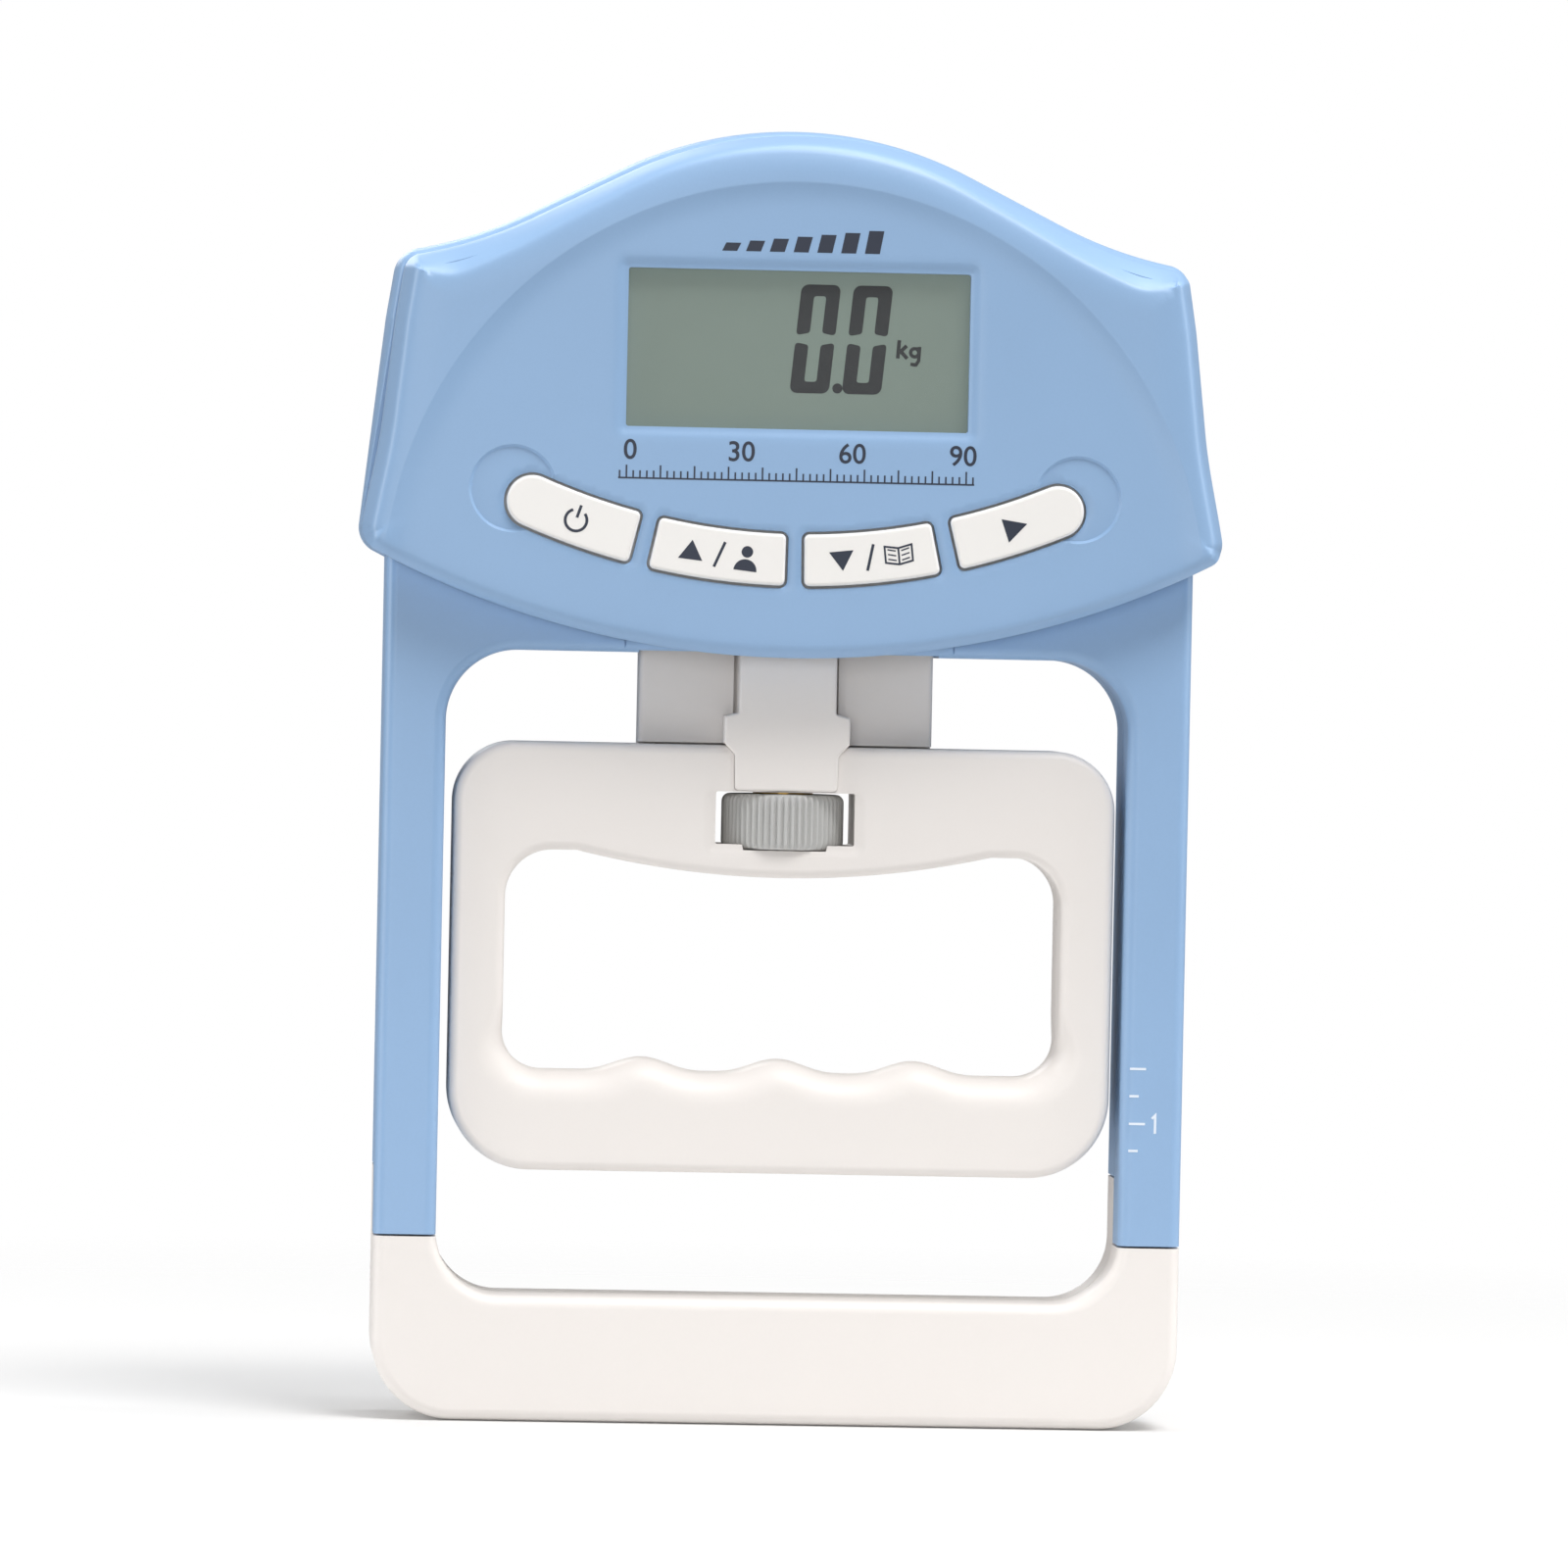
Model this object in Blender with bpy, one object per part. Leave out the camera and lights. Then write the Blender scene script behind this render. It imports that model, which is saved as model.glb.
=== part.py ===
"""Electronic hand dynamometer: a frame with a display head, and a finger handle that hangs from a load cell.

Metres, +Z up, the display faces -Y. The origin is on the table, under the middle of the object's box.
The handle slides up and down in the head on a threaded rod, and its knurled wheel sets the height.
Outlines lie in the XZ plane and run anticlockwise seen from the front; depths run along Y.
"""

import math

import bmesh
import bpy
from mathutils import Matrix, Vector

for leftover in list(bpy.data.objects):
    bpy.data.objects.remove(leftover, do_unlink=True)

# ---------------------------------------------------------------- overall sizes
BASE_HEIGHT = 0.0185  # table to the top of the palm bar
OPENING_HEIGHT = 0.0953  # palm bar to the underside of the cross bar
FRAME_HALF_WIDTH = 0.0597  # middle to the outer side of a leg
LEG_WIDTH = 0.0092
BODY_DEPTH = 0.0280  # front of the head to the back
LEG_DEPTH = 0.0200  # front of the legs to the back
WALL = 0.0020  # moulded shells
GAP = 0.0003  # between pieces that rest on one another
SLIDE = 0.0004  # between pieces that move past one another
ARC_ERROR = 0.00008  # how far a flat may cut inside a round corner
TURN_START = 0.12  # first corner of a turned piece, so that no flat lies along an axis
ROUND = 0.0018  # rounded outer edges of the frame

# ---------------------------------------------------------------- head outline
EAR_OVERHANG = 0.0036  # head past the legs, at its widest
HEAD_LIP = 0.0004  # the head's lowest point below the cross bar's underside
BOTTOM_RADIUS = 0.1360  # the arc along the head's underside
HEAD_CORNER = 0.0040
CORNER_OUT = 0.0006  # the lower corner's point, before it is rounded, past the widest point
ARC_STOP = 0.0010  # the underside's arc ends this far inside the legs
SIDE_KNEE = (0.0031, 0.0490)  # in from the widest point, up from the cross bar
EAR = (0.0046, 0.0586)
EAR_ROUND = 0.0038
SHOULDER = (0.0160, 0.0609)
SHOULDER_ROUND = 0.0628
KNEE_ROUND = 0.0250
PEAK_HEIGHT = 0.0846  # where the two top slopes would meet, above the cross bar
PEAK_ROUND = 0.0580
HEAD_ROUND = 0.0026  # rounded front edge
FACE_RECESS = 0.0005  # the face panel behind the raised brow
FACE_HALF_WIDTH = 0.0605
FACE_RISE = 0.0615
FACE_CENTRE = 0.0080  # above the cross bar

# ---------------------------------------------------------------- display
LCD_HALF_WIDTH = 0.0252  # window in the cover
LCD_BOTTOM = 0.0332  # above the cross bar
LCD_HEIGHT = 0.0233
LENS_LAP = 0.0020  # lens past the window on each side
LENS_DEPTH = 0.0012  # seat for the lens, from inside the cover
LENS_THICKNESS = 0.0009
GLASS_LAP = 0.0036
GLASS_THICKNESS = 0.0020
HOLDER_RIM = 0.0020
ZEBRA_HEIGHT = 0.0024
BOARD_THICKNESS = 0.0012
BOARD_HALF_WIDTH = 0.0430
BOARD_FOOT = 0.0097  # above the cross bar
BOARD_TOP = 0.0622
BOARD_CHAMFER = 0.0045
BOARD_SHOULDER = 0.0100
CHIP_PLACE = (0.0180, 0.0462)
CHIP_RADIUS = 0.0060
CHIP_HEIGHT = 0.0012

# ---------------------------------------------------------------- keys, on an arc about a point above the cross bar
KEY_CENTRE = 0.1128
KEY_RADIUS = 0.0988  # to the middle of the row
KEY_HEIGHT = 0.0076
KEY_START_ANGLE = math.radians(0.8)
KEY_ANGLE = math.radians(11.3)
KEY_SPACE = math.radians(1.7)
OUTER_KEY_ANGLE = math.radians(9.25)  # to the middle of its round end
KEY_CORNER = 0.0008
KEY_PROUD = 0.0005
KEY_TRAVEL = 0.0008
KEY_FLANGE = 0.0008
KEY_FLANGE_DEPTH = 0.0008
SWITCH_SIDE = 0.0060
PLUNGER_RADIUS = 0.0016
DIMPLE_PLACE = (0.0416, 0.0237)
DIMPLE_RADIUS = 0.00625
DIMPLE_DEPTH = 0.0004

# ---------------------------------------------------------------- legs and base
OPENING_TOP_ROUND = 0.0105
OPENING_FOOT_ROUND = 0.0095
BASE_ROUND = 0.0120
SPLIT_FRONT = 0.0087  # front edge of the white base, above the palm bar
SPLIT_BACK = 0.0187
PLATE = 0.0025  # front plate of the frame
CROSS_RISE = 0.0145  # how far the frame reaches up inside the head
BASE_FRONT_DEPTH = 0.0102  # front half of the base, from its face to the seam
LEG_SEAM_RISE = 0.0065  # where the posts in a leg meet, behind its plate
CASE_SEAT = 0.0030  # under a case screw's head, to the inside of the back wall
LEG_SEAT = 0.0020

# ---------------------------------------------------------------- handle
PALM_GAP = 0.0185  # palm bar to the bottom of the handle
HANDLE_HEIGHT = 0.0633
SIDE_GAP = 0.0015  # handle to leg
HANDLE_DEPTH = 0.0150
HANDLE_STEP = 0.0025  # handle's face behind the face of the legs
HANDLE_TOP_ROUND = 0.0090
HANDLE_FOOT_ROUND = 0.0120
HANDLE_EDGE = 0.0014
HOLE_SIDE = 0.0078  # width of the handle's side bars
HOLE_TOP = 0.0159  # below the top of the handle, at the corners
HOLE_SAG = 0.0036  # the hole's top edge sags this far in the middle
HOLE_TOP_ROUND = 0.0070
HOLE_FOOT_ROUND = 0.0060
GRIP_HEIGHT = 0.0147  # bottom of the handle to the finger valleys
FINGER_PITCH = 0.02025
FINGER_RISE = 0.0020
GRIP_ROUND = 0.0045
TRAVEL_DOWN = 0.0120
TRAVEL_UP = 0.0110
HANDLE_SHELL = 0.0030

# ---------------------------------------------------------------- wheel, sleeve, stem and neck
WHEEL_RADIUS = 0.0091
WHEEL_FLUTES = 56
FLUTE_DEPTH = 0.00035
WINDOW_HALF_WIDTH = 0.0103
WINDOW_HEIGHT = 0.0078
WINDOW_TOP = 0.0068  # below the top of the handle
CRESCENT = 0.0010  # the wheel's pocket below its window
ROD_RADIUS = 0.0025
ROD_REACH = 0.0033  # rod's end below the top of the handle, at rest
SLEEVE_RADIUS = 0.0045
STEM_HALF_WIDTH = 0.0072
STEM_PROUD = 0.0010
STEM_THICKNESS = 0.0018
STEM_WALL = 0.0018
SHOULDER_HALF_WIDTH = 0.0093
SHOULDER_HEIGHT = 0.0044
TAB_HALF_WIDTH = 0.0076
TAB_LENGTH = 0.0066
NECK_HALF_WIDTH = 0.0218
NECK_STEP = 0.0045  # neck's face behind the handle's face
NECK_DEPTH = 0.0080
HIDDEN_LENGTH = 0.0022  # what stays inside the head at full travel

# ---------------------------------------------------------------- load cell and its bracket
CELL_HALF_WIDTH = 0.0080
CELL_DEPTH = 0.0120
CELL_HEIGHT = 0.0200
CELL_SLOT = 0.0010
CELL_LAND = 0.0012  # metal left between the load cell's cuts
CELL_WEB = 0.0030
GAUGE_RADIUS = 0.0020
BRACKET_THICKNESS = 0.0030
BRACKET_HALF_WIDTH = 0.0360
LUG_WIDTH = 0.0070
LUG_DROP = 0.0110
LUG_INSET = 0.0005  # the bracket inside the load cell's depth
LUG_SCREW = 0.65  # height of a lug's screw, as a share of the lug's width
LUG_THICKNESS = 0.0025
NUT_RISE = 0.0135  # locknut above the cross bar's underside
NUT_FLATS = 0.0080
NUT_HEIGHT = 0.0032

# ---------------------------------------------------------------- batteries
CELL_RADIUS = 0.00525  # one AAA battery
CELL_LENGTH = 0.0445
NUB_RADIUS = 0.0019
NUB_HEIGHT = 0.0010
CELL_CHAMFER = 0.0005
BAY_HALF_WIDTH = 0.0254
BAY_WALL = 0.0011
BAY_CLEARANCE = 0.0002
BAY_DEPTH = 0.0111  # from the inside of the back to the bay's inner wall
BAY_FOOT = 0.0462  # above the cross bar
DOOR_LAP = 0.0005
GRIP_HALF_WIDTH = 0.0060  # finger groove in the door
GRIP_HALF_HEIGHT = 0.0012
GRIP_DEPTH = 0.0006
GRIP_DROP = 0.0040  # below the top of the bay
CONTACT = 0.0004
CONTACT_MARGIN = 0.0010  # contact plate above the bay's floor
SPRING_WIRE = 0.0003  # radius of the wire
SPRING_RADIUS = (0.0032, 0.0018)  # at the plate and at the battery
HINGE_OUT = 0.0005  # door's hinge line behind the back of the head

# ---------------------------------------------------------------- screws: shank radius, head radius, head height
CASE_SCREW = (0.0012, 0.0022, 0.0016)
LEG_SCREW = (0.0009, 0.0018, 0.0014)
BOARD_SCREW = (0.0009, 0.0019, 0.0011)
BRACKET_SCREW = (0.0015, 0.0028, 0.0020)
POST_WALL = 0.0019
ROOT = 0.0006  # how far a post reaches into the wall that it stands on
THIN_POST_WALL = 0.0012  # where a post stands inside a leg
HEAD_POSTS = [(0.0480, 0.0482), (0.0515, 0.0222)]
BOARD_POST = (0.0380, 0.0362)
LEG_POST_HEIGHT = 0.0565  # above the palm bar
BASE_POST = 0.0300
HANDLE_POSTS = [(0.0047, 0.0065), (0.0060, 0.0560)]  # in from the side, up from the bottom

# ---------------------------------------------------------------- derived places
BACK = BODY_DEPTH / 2
FRONT = -BODY_DEPTH / 2
LEG_FRONT = BACK - LEG_DEPTH
BASE_SEAM = LEG_FRONT + BASE_FRONT_DEPTH
HANDLE_FRONT = LEG_FRONT + HANDLE_STEP
NECK_FRONT = HANDLE_FRONT + NECK_STEP
CROSS = BASE_HEIGHT + OPENING_HEIGHT  # underside of the cross bar
HEAD_BOTTOM = CROSS - HEAD_LIP
CROSS_TOP = CROSS + CROSS_RISE
HEAD_HALF_WIDTH = FRAME_HALF_WIDTH + EAR_OVERHANG
OPENING_HALF_WIDTH = FRAME_HALF_WIDTH - LEG_WIDTH
INSIDE_FRONT = FRONT + FACE_RECESS + WALL  # inner face of the head's cover
INSIDE_BACK = BACK - WALL
HANDLE_FOOT = BASE_HEIGHT + PALM_GAP
HANDLE_TOP = HANDLE_FOOT + HANDLE_HEIGHT
HANDLE_HALF_WIDTH = OPENING_HALF_WIDTH - SIDE_GAP
HANDLE_BACK = HANDLE_FRONT + HANDLE_DEPTH
AXIS_Y = HANDLE_FRONT + HANDLE_DEPTH / 2  # rod, wheel and handle seam
HOLE_HALF_WIDTH = HANDLE_HALF_WIDTH - HOLE_SIDE
WINDOW_CEILING = HANDLE_TOP - WINDOW_TOP
WINDOW_SILL = WINDOW_CEILING - WINDOW_HEIGHT
NECK_BACK = NECK_FRONT + NECK_DEPTH
NECK_TOP = CROSS + TRAVEL_DOWN + HIDDEN_LENGTH + 0.004
STEM_FRONT = HANDLE_FRONT - STEM_PROUD
STEM_TOP = CROSS + TRAVEL_DOWN + HIDDEN_LENGTH
NUT_BOTTOM = CROSS + NUT_RISE
SLEEVE_TOP = NUT_BOTTOM - TRAVEL_UP - GAP
CELL_BOTTOM = NUT_BOTTOM + NUT_HEIGHT + GAP
CELL_TOP = CELL_BOTTOM + CELL_HEIGHT
BRACKET_BOTTOM = CELL_TOP + GAP
BRACKET_TOP = BRACKET_BOTTOM + BRACKET_THICKNESS
CELL_FRONT = AXIS_Y - CELL_DEPTH / 2
BOARD_Y = LEG_FRONT - GAP - BOARD_THICKNESS  # its front; its back clears the frame's plate
BAY_FLOOR = INSIDE_BACK - BAY_DEPTH
BAY_BOTTOM = CROSS + BAY_FOOT
BAY_HEIGHT = 4 * (CELL_RADIUS + BAY_CLEARANCE)
BATTERY_Y = BAY_FLOOR + BAY_CLEARANCE + CELL_RADIUS


# ================================================================ materials
def material(name, colour, roughness, metallic=0.0, transmission=0.0):
    made = bpy.data.materials.get(name)
    if made:
        return made
    made = bpy.data.materials.new(name)
    made.use_nodes = True
    shader = made.node_tree.nodes["Principled BSDF"]
    shader.inputs["Base Color"].default_value = (*colour, 1.0)
    shader.inputs["Roughness"].default_value = roughness
    shader.inputs["Metallic"].default_value = metallic
    shader.inputs["Transmission Weight"].default_value = transmission
    return made


BLUE = material("blue_abs", (0.30, 0.47, 0.73), 0.38)
WHITE = material("white_abs", (0.83, 0.80, 0.79), 0.42)
GREY = material("grey_wheel", (0.45, 0.46, 0.46), 0.45)
CLEAR = material("clear_lens", (0.80, 0.84, 0.82), 0.08, transmission=0.9)
LCD = material("lcd_glass", (0.22, 0.27, 0.24), 0.20)
STEEL = material("plated_steel", (0.62, 0.62, 0.60), 0.30, 1.0)
BRASS = material("brass", (0.72, 0.55, 0.28), 0.32, 1.0)
ALUMINIUM = material("aluminium", (0.75, 0.76, 0.77), 0.35, 1.0)
BOARD = material("green_board", (0.03, 0.20, 0.09), 0.45)
BLACK = material("black_plastic", (0.02, 0.02, 0.02), 0.50)
RUBBER = material("elastomer", (0.15, 0.12, 0.10), 0.75)
POTTING = material("white_silicone", (0.80, 0.80, 0.78), 0.60)
BATTERY = material("battery_sleeve", (0.10, 0.22, 0.12), 0.35)
WIRE_RED = material("red_wire", (0.55, 0.03, 0.03), 0.45)
WIRE_BLACK = material("black_wire", (0.02, 0.02, 0.02), 0.45)
WIRE_GREY = material("grey_cable", (0.35, 0.35, 0.36), 0.50)


# ================================================================ outlines
def rounded(corners):
    """Closed outline through (x, z, radius) corners. A radius of 0 keeps a corner sharp."""
    points = []
    for i, (x, z, radius) in enumerate(corners):
        here = Vector((x, z))
        if radius == 0:
            points.append(here)
            continue
        back = (Vector(corners[i - 1][:2]) - here).normalized()
        ahead = (Vector(corners[(i + 1) % len(corners)][:2]) - here).normalized()
        half = back.angle(ahead) / 2
        centre = here + (back + ahead).normalized() * (radius / math.sin(half))
        arm = here + back * (radius / math.tan(half)) - centre
        sweep = math.pi - 2 * half
        turn = sweep if ahead.x * back.y - ahead.y * back.x > 0 else -sweep
        flat = 2 * math.acos(1 - min(0.1, ARC_ERROR / radius))
        flats = max(2, math.ceil(sweep / flat))
        for k in range(flats + 1):
            points.append(centre + Matrix.Rotation(turn * k / flats, 2) @ arm)
    return points


def inset(points, distance):
    """The outline moved inwards. The distance is a number, or a function of the point."""
    moved = []
    for i, here in enumerate(points):
        before = (here - points[i - 1]).normalized()
        after = (points[(i + 1) % len(points)] - here).normalized()
        normal = Vector((-before.y, before.x)) + Vector((-after.y, after.x))
        reach = distance(here) if callable(distance) else distance
        moved.append(here + normal * (reach / (1 + before.dot(after))))
    return moved


def mirrored(points):
    """The outline on the other side of the middle, still anticlockwise."""
    return [Vector((-p.x, p.y)) for p in reversed(points)]


def block_outline(half_width, bottom, top, radius=0.0):
    return rounded([(half_width, bottom, radius), (half_width, top, radius),
                    (-half_width, top, radius), (-half_width, bottom, radius)])


def head_bottom(x):
    """Height of the head's underside at x."""
    return HEAD_BOTTOM + BOTTOM_RADIUS - math.sqrt(BOTTOM_RADIUS**2 - x**2)


def head_outline():
    corner_x = HEAD_HALF_WIDTH + CORNER_OUT
    arc_end = FRAME_HALF_WIDTH - ARC_STOP
    arc_steps = 12
    half = []
    for k in range(arc_steps + 1):
        x = arc_end * k / arc_steps
        half.append((x, head_bottom(x), 0))
    half.append((corner_x, head_bottom(corner_x), HEAD_CORNER))
    knee_in, knee_up = SIDE_KNEE
    half.append((HEAD_HALF_WIDTH - knee_in, CROSS + knee_up, KNEE_ROUND))
    half.append((HEAD_HALF_WIDTH - EAR[0], CROSS + EAR[1], EAR_ROUND))
    half.append((HEAD_HALF_WIDTH - SHOULDER[0], CROSS + SHOULDER[1], SHOULDER_ROUND))
    other = [(-x, z, radius) for x, z, radius in reversed(half[1:])]
    return rounded(half + [(0, CROSS + PEAK_HEIGHT, PEAK_ROUND)] + other)


def arch_outline(outer, inner, foot, crown, top, radius):
    """The legs and cross bar: an opening from the foot up to the crown, under a straight top."""
    return rounded([(outer, foot, 0), (outer, top, 0), (-outer, top, 0), (-outer, foot, 0),
                    (-inner, foot, 0), (-inner, crown, radius), (inner, crown, radius), (inner, foot, 0)])


def cradle_outline(outer, inner, bottom, floor, top):
    """The base: a palm bar with two short arms."""
    return rounded([(-outer, top, 0), (-outer, bottom, BASE_ROUND), (outer, bottom, BASE_ROUND),
                    (outer, top, 0), (inner, top, 0), (inner, floor, OPENING_FOOT_ROUND),
                    (-inner, floor, OPENING_FOOT_ROUND), (-inner, top, 0)])


def handle_outline():
    return rounded([(HANDLE_HALF_WIDTH, HANDLE_FOOT, HANDLE_FOOT_ROUND),
                    (HANDLE_HALF_WIDTH, HANDLE_TOP, HANDLE_TOP_ROUND),
                    (-HANDLE_HALF_WIDTH, HANDLE_TOP, HANDLE_TOP_ROUND),
                    (-HANDLE_HALF_WIDTH, HANDLE_FOOT, HANDLE_FOOT_ROUND)])


def hole_outline():
    """The finger hole: a sagging top edge, and four finger valleys with soft ridges between them."""
    valley = HANDLE_FOOT + GRIP_HEIGHT
    top = HANDLE_TOP - HOLE_TOP
    ridge_end = 1.5 * FINGER_PITCH
    steps = 24
    corners = []
    for k in range(steps + 1):
        x = ridge_end * (2 * k / steps - 1)
        ridge = (1 + math.cos(2 * math.pi * x / FINGER_PITCH)) / 2
        corners.append((x, valley + FINGER_RISE * ridge**1.5, 0))
    corners.append((HOLE_HALF_WIDTH, valley, HOLE_FOOT_ROUND))
    corners.append((HOLE_HALF_WIDTH, top, HOLE_TOP_ROUND))
    span = HOLE_HALF_WIDTH - 1.5 * HOLE_TOP_ROUND
    sag_steps = 10
    for k in range(sag_steps + 1):
        x = span * (1 - 2 * k / sag_steps)
        corners.append((x, top - HOLE_SAG * (1 - (x / span) ** 2), 0))
    corners.append((-HOLE_HALF_WIDTH, top, HOLE_TOP_ROUND))
    corners.append((-HOLE_HALF_WIDTH, valley, HOLE_FOOT_ROUND))
    return rounded(corners)


def key_outline(start, end, round_end):
    """One key on the row's arc, on the right of the middle. Angles are from straight down."""
    def at(radius, angle):
        return radius * math.sin(angle), CROSS + KEY_CENTRE - radius * math.cos(angle)

    low = KEY_RADIUS + KEY_HEIGHT / 2
    high = KEY_RADIUS - KEY_HEIGHT / 2
    steps = 5
    inner = [start + (end - start) * k / steps for k in range(1, steps)]
    corners = [(*at(low, start), KEY_CORNER)]
    corners += [(*at(low, angle), 0) for angle in inner]
    if round_end:
        middle = at(KEY_RADIUS, end)
        flats = 10
        for k in range(flats + 1):
            turn = end - math.pi / 2 + math.pi * k / flats
            corners.append((middle[0] + KEY_HEIGHT / 2 * math.cos(turn),
                            middle[1] + KEY_HEIGHT / 2 * math.sin(turn), 0))
    else:
        corners.append((*at(low, end), KEY_CORNER))
        corners.append((*at(high, end), KEY_CORNER))
    corners += [(*at(high, angle), 0) for angle in reversed(inner)]
    corners.append((*at(high, start), KEY_CORNER))
    return rounded(corners)


def stem_outline():
    """Front view of the stem cover: a column with shoulders, and a tab on the handle's face."""
    shoulder = HANDLE_TOP + SHOULDER_HEIGHT
    half = [(TAB_HALF_WIDTH, HANDLE_TOP - TAB_LENGTH, 0.0005),
            (TAB_HALF_WIDTH, HANDLE_TOP - 0.0013, 0),
            (SHOULDER_HALF_WIDTH, HANDLE_TOP + 0.0004, 0),
            (SHOULDER_HALF_WIDTH, shoulder, 0.0004),
            (STEM_HALF_WIDTH, shoulder + 0.0005, 0),
            (STEM_HALF_WIDTH, STEM_TOP, 0)]
    return rounded(half + [(-x, z, radius) for x, z, radius in reversed(half)])


# ================================================================ solids
def add_object(name, mesh, paint, guide):
    mesh.materials.append(paint)
    made = bpy.data.objects.new(name, mesh)
    bpy.context.collection.objects.link(made)
    if guide:
        made.hide_render = True
        made.display_type = "WIRE"
    return made


def loft(name, rings, paint=BLUE, guide=False, ring_of_rings=False, smooth=True):
    """Solid through rings with the same number of points; the ends are capped, or joined to each other."""
    build = bmesh.new()
    loops = [[build.verts.new(point) for point in ring] for ring in rings]
    pairs = list(zip(loops, loops[1:]))
    if ring_of_rings:
        pairs.append((loops[-1], loops[0]))
    else:
        build.faces.new(loops[0])
        build.faces.new(loops[-1])
    for near, far in pairs:
        for i in range(len(near)):
            build.faces.new((near[i - 1], near[i], far[i], far[i - 1]))
    bmesh.ops.recalc_face_normals(build, faces=build.faces)
    mesh = bpy.data.meshes.new(name)
    build.to_mesh(mesh)
    build.free()
    if smooth:
        mesh.shade_smooth()
        mesh.set_sharp_from_angle(angle=math.radians(35))
    return add_object(name, mesh, paint, guide)


def pillow(name, outline, profile, paint=BLUE, guide=False):
    """Solid whose outline is inset by each (distance, depth) pair of the profile."""
    rings = []
    for distance, depth in profile:
        ring = outline if distance == 0 else inset(outline, distance)
        rings.append([(p.x, depth, p.y) for p in ring])
    return loft(name, rings, paint, guide)


def prism(name, outline, front, back, paint=BLUE, guide=False):
    return pillow(name, outline, [(0, front), (0, back)], paint, guide)


def edges(front, back, front_round=0.0, back_round=0.0, flats=2):
    """Profile between two depths, with quarter rounds."""
    pairs = []
    for k in range(flats + 1 if front_round else 0):
        turn = math.pi / 2 * k / flats
        pairs.append((front_round * (1 - math.sin(turn)), front + front_round * (1 - math.cos(turn))))
    if not front_round:
        pairs.append((0, front))
    if not back_round:
        pairs.append((0, back))
    for k in range(flats + 1 if back_round else 0):
        turn = math.pi / 2 * k / flats
        pairs.append((back_round * (1 - math.cos(turn)), back - back_round * (1 - math.sin(turn))))
    return pairs


def box(name, xs, ys, zs, paint=BLUE, guide=False):
    outline = [Vector((xs[0], zs[0])), Vector((xs[1], zs[0])), Vector((xs[1], zs[1])), Vector((xs[0], zs[1]))]
    return prism(name, outline, ys[0], ys[1], paint, guide)


def turned(name, profile, centre, axis="Z", flats=16, paint=STEEL, guide=False, tube=False):
    """Solid of revolution about an axis through the centre; the profile is (radius, height) pairs."""
    rings = []
    for radius, height in profile:
        ring = []
        for k in range(flats):
            turn = TURN_START + 2 * math.pi * k / flats
            across = radius * math.cos(turn)
            along = radius * math.sin(turn)
            local = {"X": (height, across, along), "Y": (across, height, along), "Z": (across, along, height)}
            ring.append(Vector(centre) + Vector(local[axis]))
        rings.append(ring)
    return loft(name, rings, paint, guide, ring_of_rings=tube)


def boolean(target, tools, operation):
    for tool in tools:
        step = target.modifiers.new(operation.lower() + "_" + tool.name, "BOOLEAN")
        step.operation = operation
        step.solver = "EXACT"
        step.object = tool


def cut(target, *tools):
    boolean(target, tools, "DIFFERENCE")


def add(target, *tools):
    boolean(target, tools, "UNION")


def set_origin(piece, point):
    """Puts the piece's origin on its joint's axis, and leaves its shape where it is."""
    piece.data.transform(Matrix.Translation(-Vector(point)))
    piece.location = point


def guide_box(name, xs, ys, zs):
    return box("guide_" + name, xs, ys, zs, guide=True)


def guide_rod(name, x, z, radius, front, back, flats=12):
    return turned("guide_" + name, [(radius, front), (radius, back)], (x, 0, z), "Y", flats, guide=True)


RODS = {}  # posts, drilled holes and sinks of each piece, which become one tool per stage
STAGES = {"post": "UNION", "drill": "DIFFERENCE", "sink": "DIFFERENCE"}


def plan_rod(piece, stage, x, z, radius, front, back):
    RODS.setdefault(piece, {}).setdefault(stage, []).append((x, z, radius, front, back))


def make_rods():
    """Joins each piece's posts to it, then drills and sinks them, with one tool for all of a stage."""
    for piece, stages in RODS.items():
        for stage, operation in STAGES.items():
            if stage not in stages:
                continue
            build = bmesh.new()
            for x, z, radius, front, back in stages[stage]:
                spin = Matrix.Rotation(math.pi / 2, 4, "X") @ Matrix.Rotation(TURN_START, 4, "Z")
                place = Matrix.Translation((x, (front + back) / 2, z)) @ spin
                bmesh.ops.create_cone(build, cap_ends=True, segments=12, radius1=radius, radius2=radius,
                                      depth=back - front, matrix=place)
            mesh = bpy.data.meshes.new(f"guide_{piece.name}_{stage}")
            build.to_mesh(mesh)
            build.free()
            boolean(piece, [add_object(mesh.name, mesh, BLUE, True)], operation)


def wire(name, points, radius, paint):
    """Insulated lead along a smooth curve through its points."""
    curve = bpy.data.curves.new(name, "CURVE")
    curve.dimensions = "3D"
    line = curve.splines.new("POLY")
    smooth = []
    steps = 4
    padded = [2 * points[0] - points[1], *points, 2 * points[-1] - points[-2]]
    for a, b, c, d in zip(padded, padded[1:], padded[2:], padded[3:]):
        for k in range(steps):
            t = k / steps
            smooth.append(0.5 * (2 * b + (c - a) * t + (2 * a - 5 * b + 4 * c - d) * t**2
                                 + (3 * b - a - 3 * c + d) * t**3))
    smooth.append(points[-1])
    line.points.add(len(smooth) - 1)
    for point, place in zip(line.points, smooth):
        point.co = (*place, 1)
    curve.bevel_depth = radius
    curve.bevel_resolution = 1
    curve.use_fill_caps = True
    curve.materials.append(paint)
    made = bpy.data.objects.new(name, curve)
    bpy.context.collection.objects.link(made)
    return made


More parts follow.
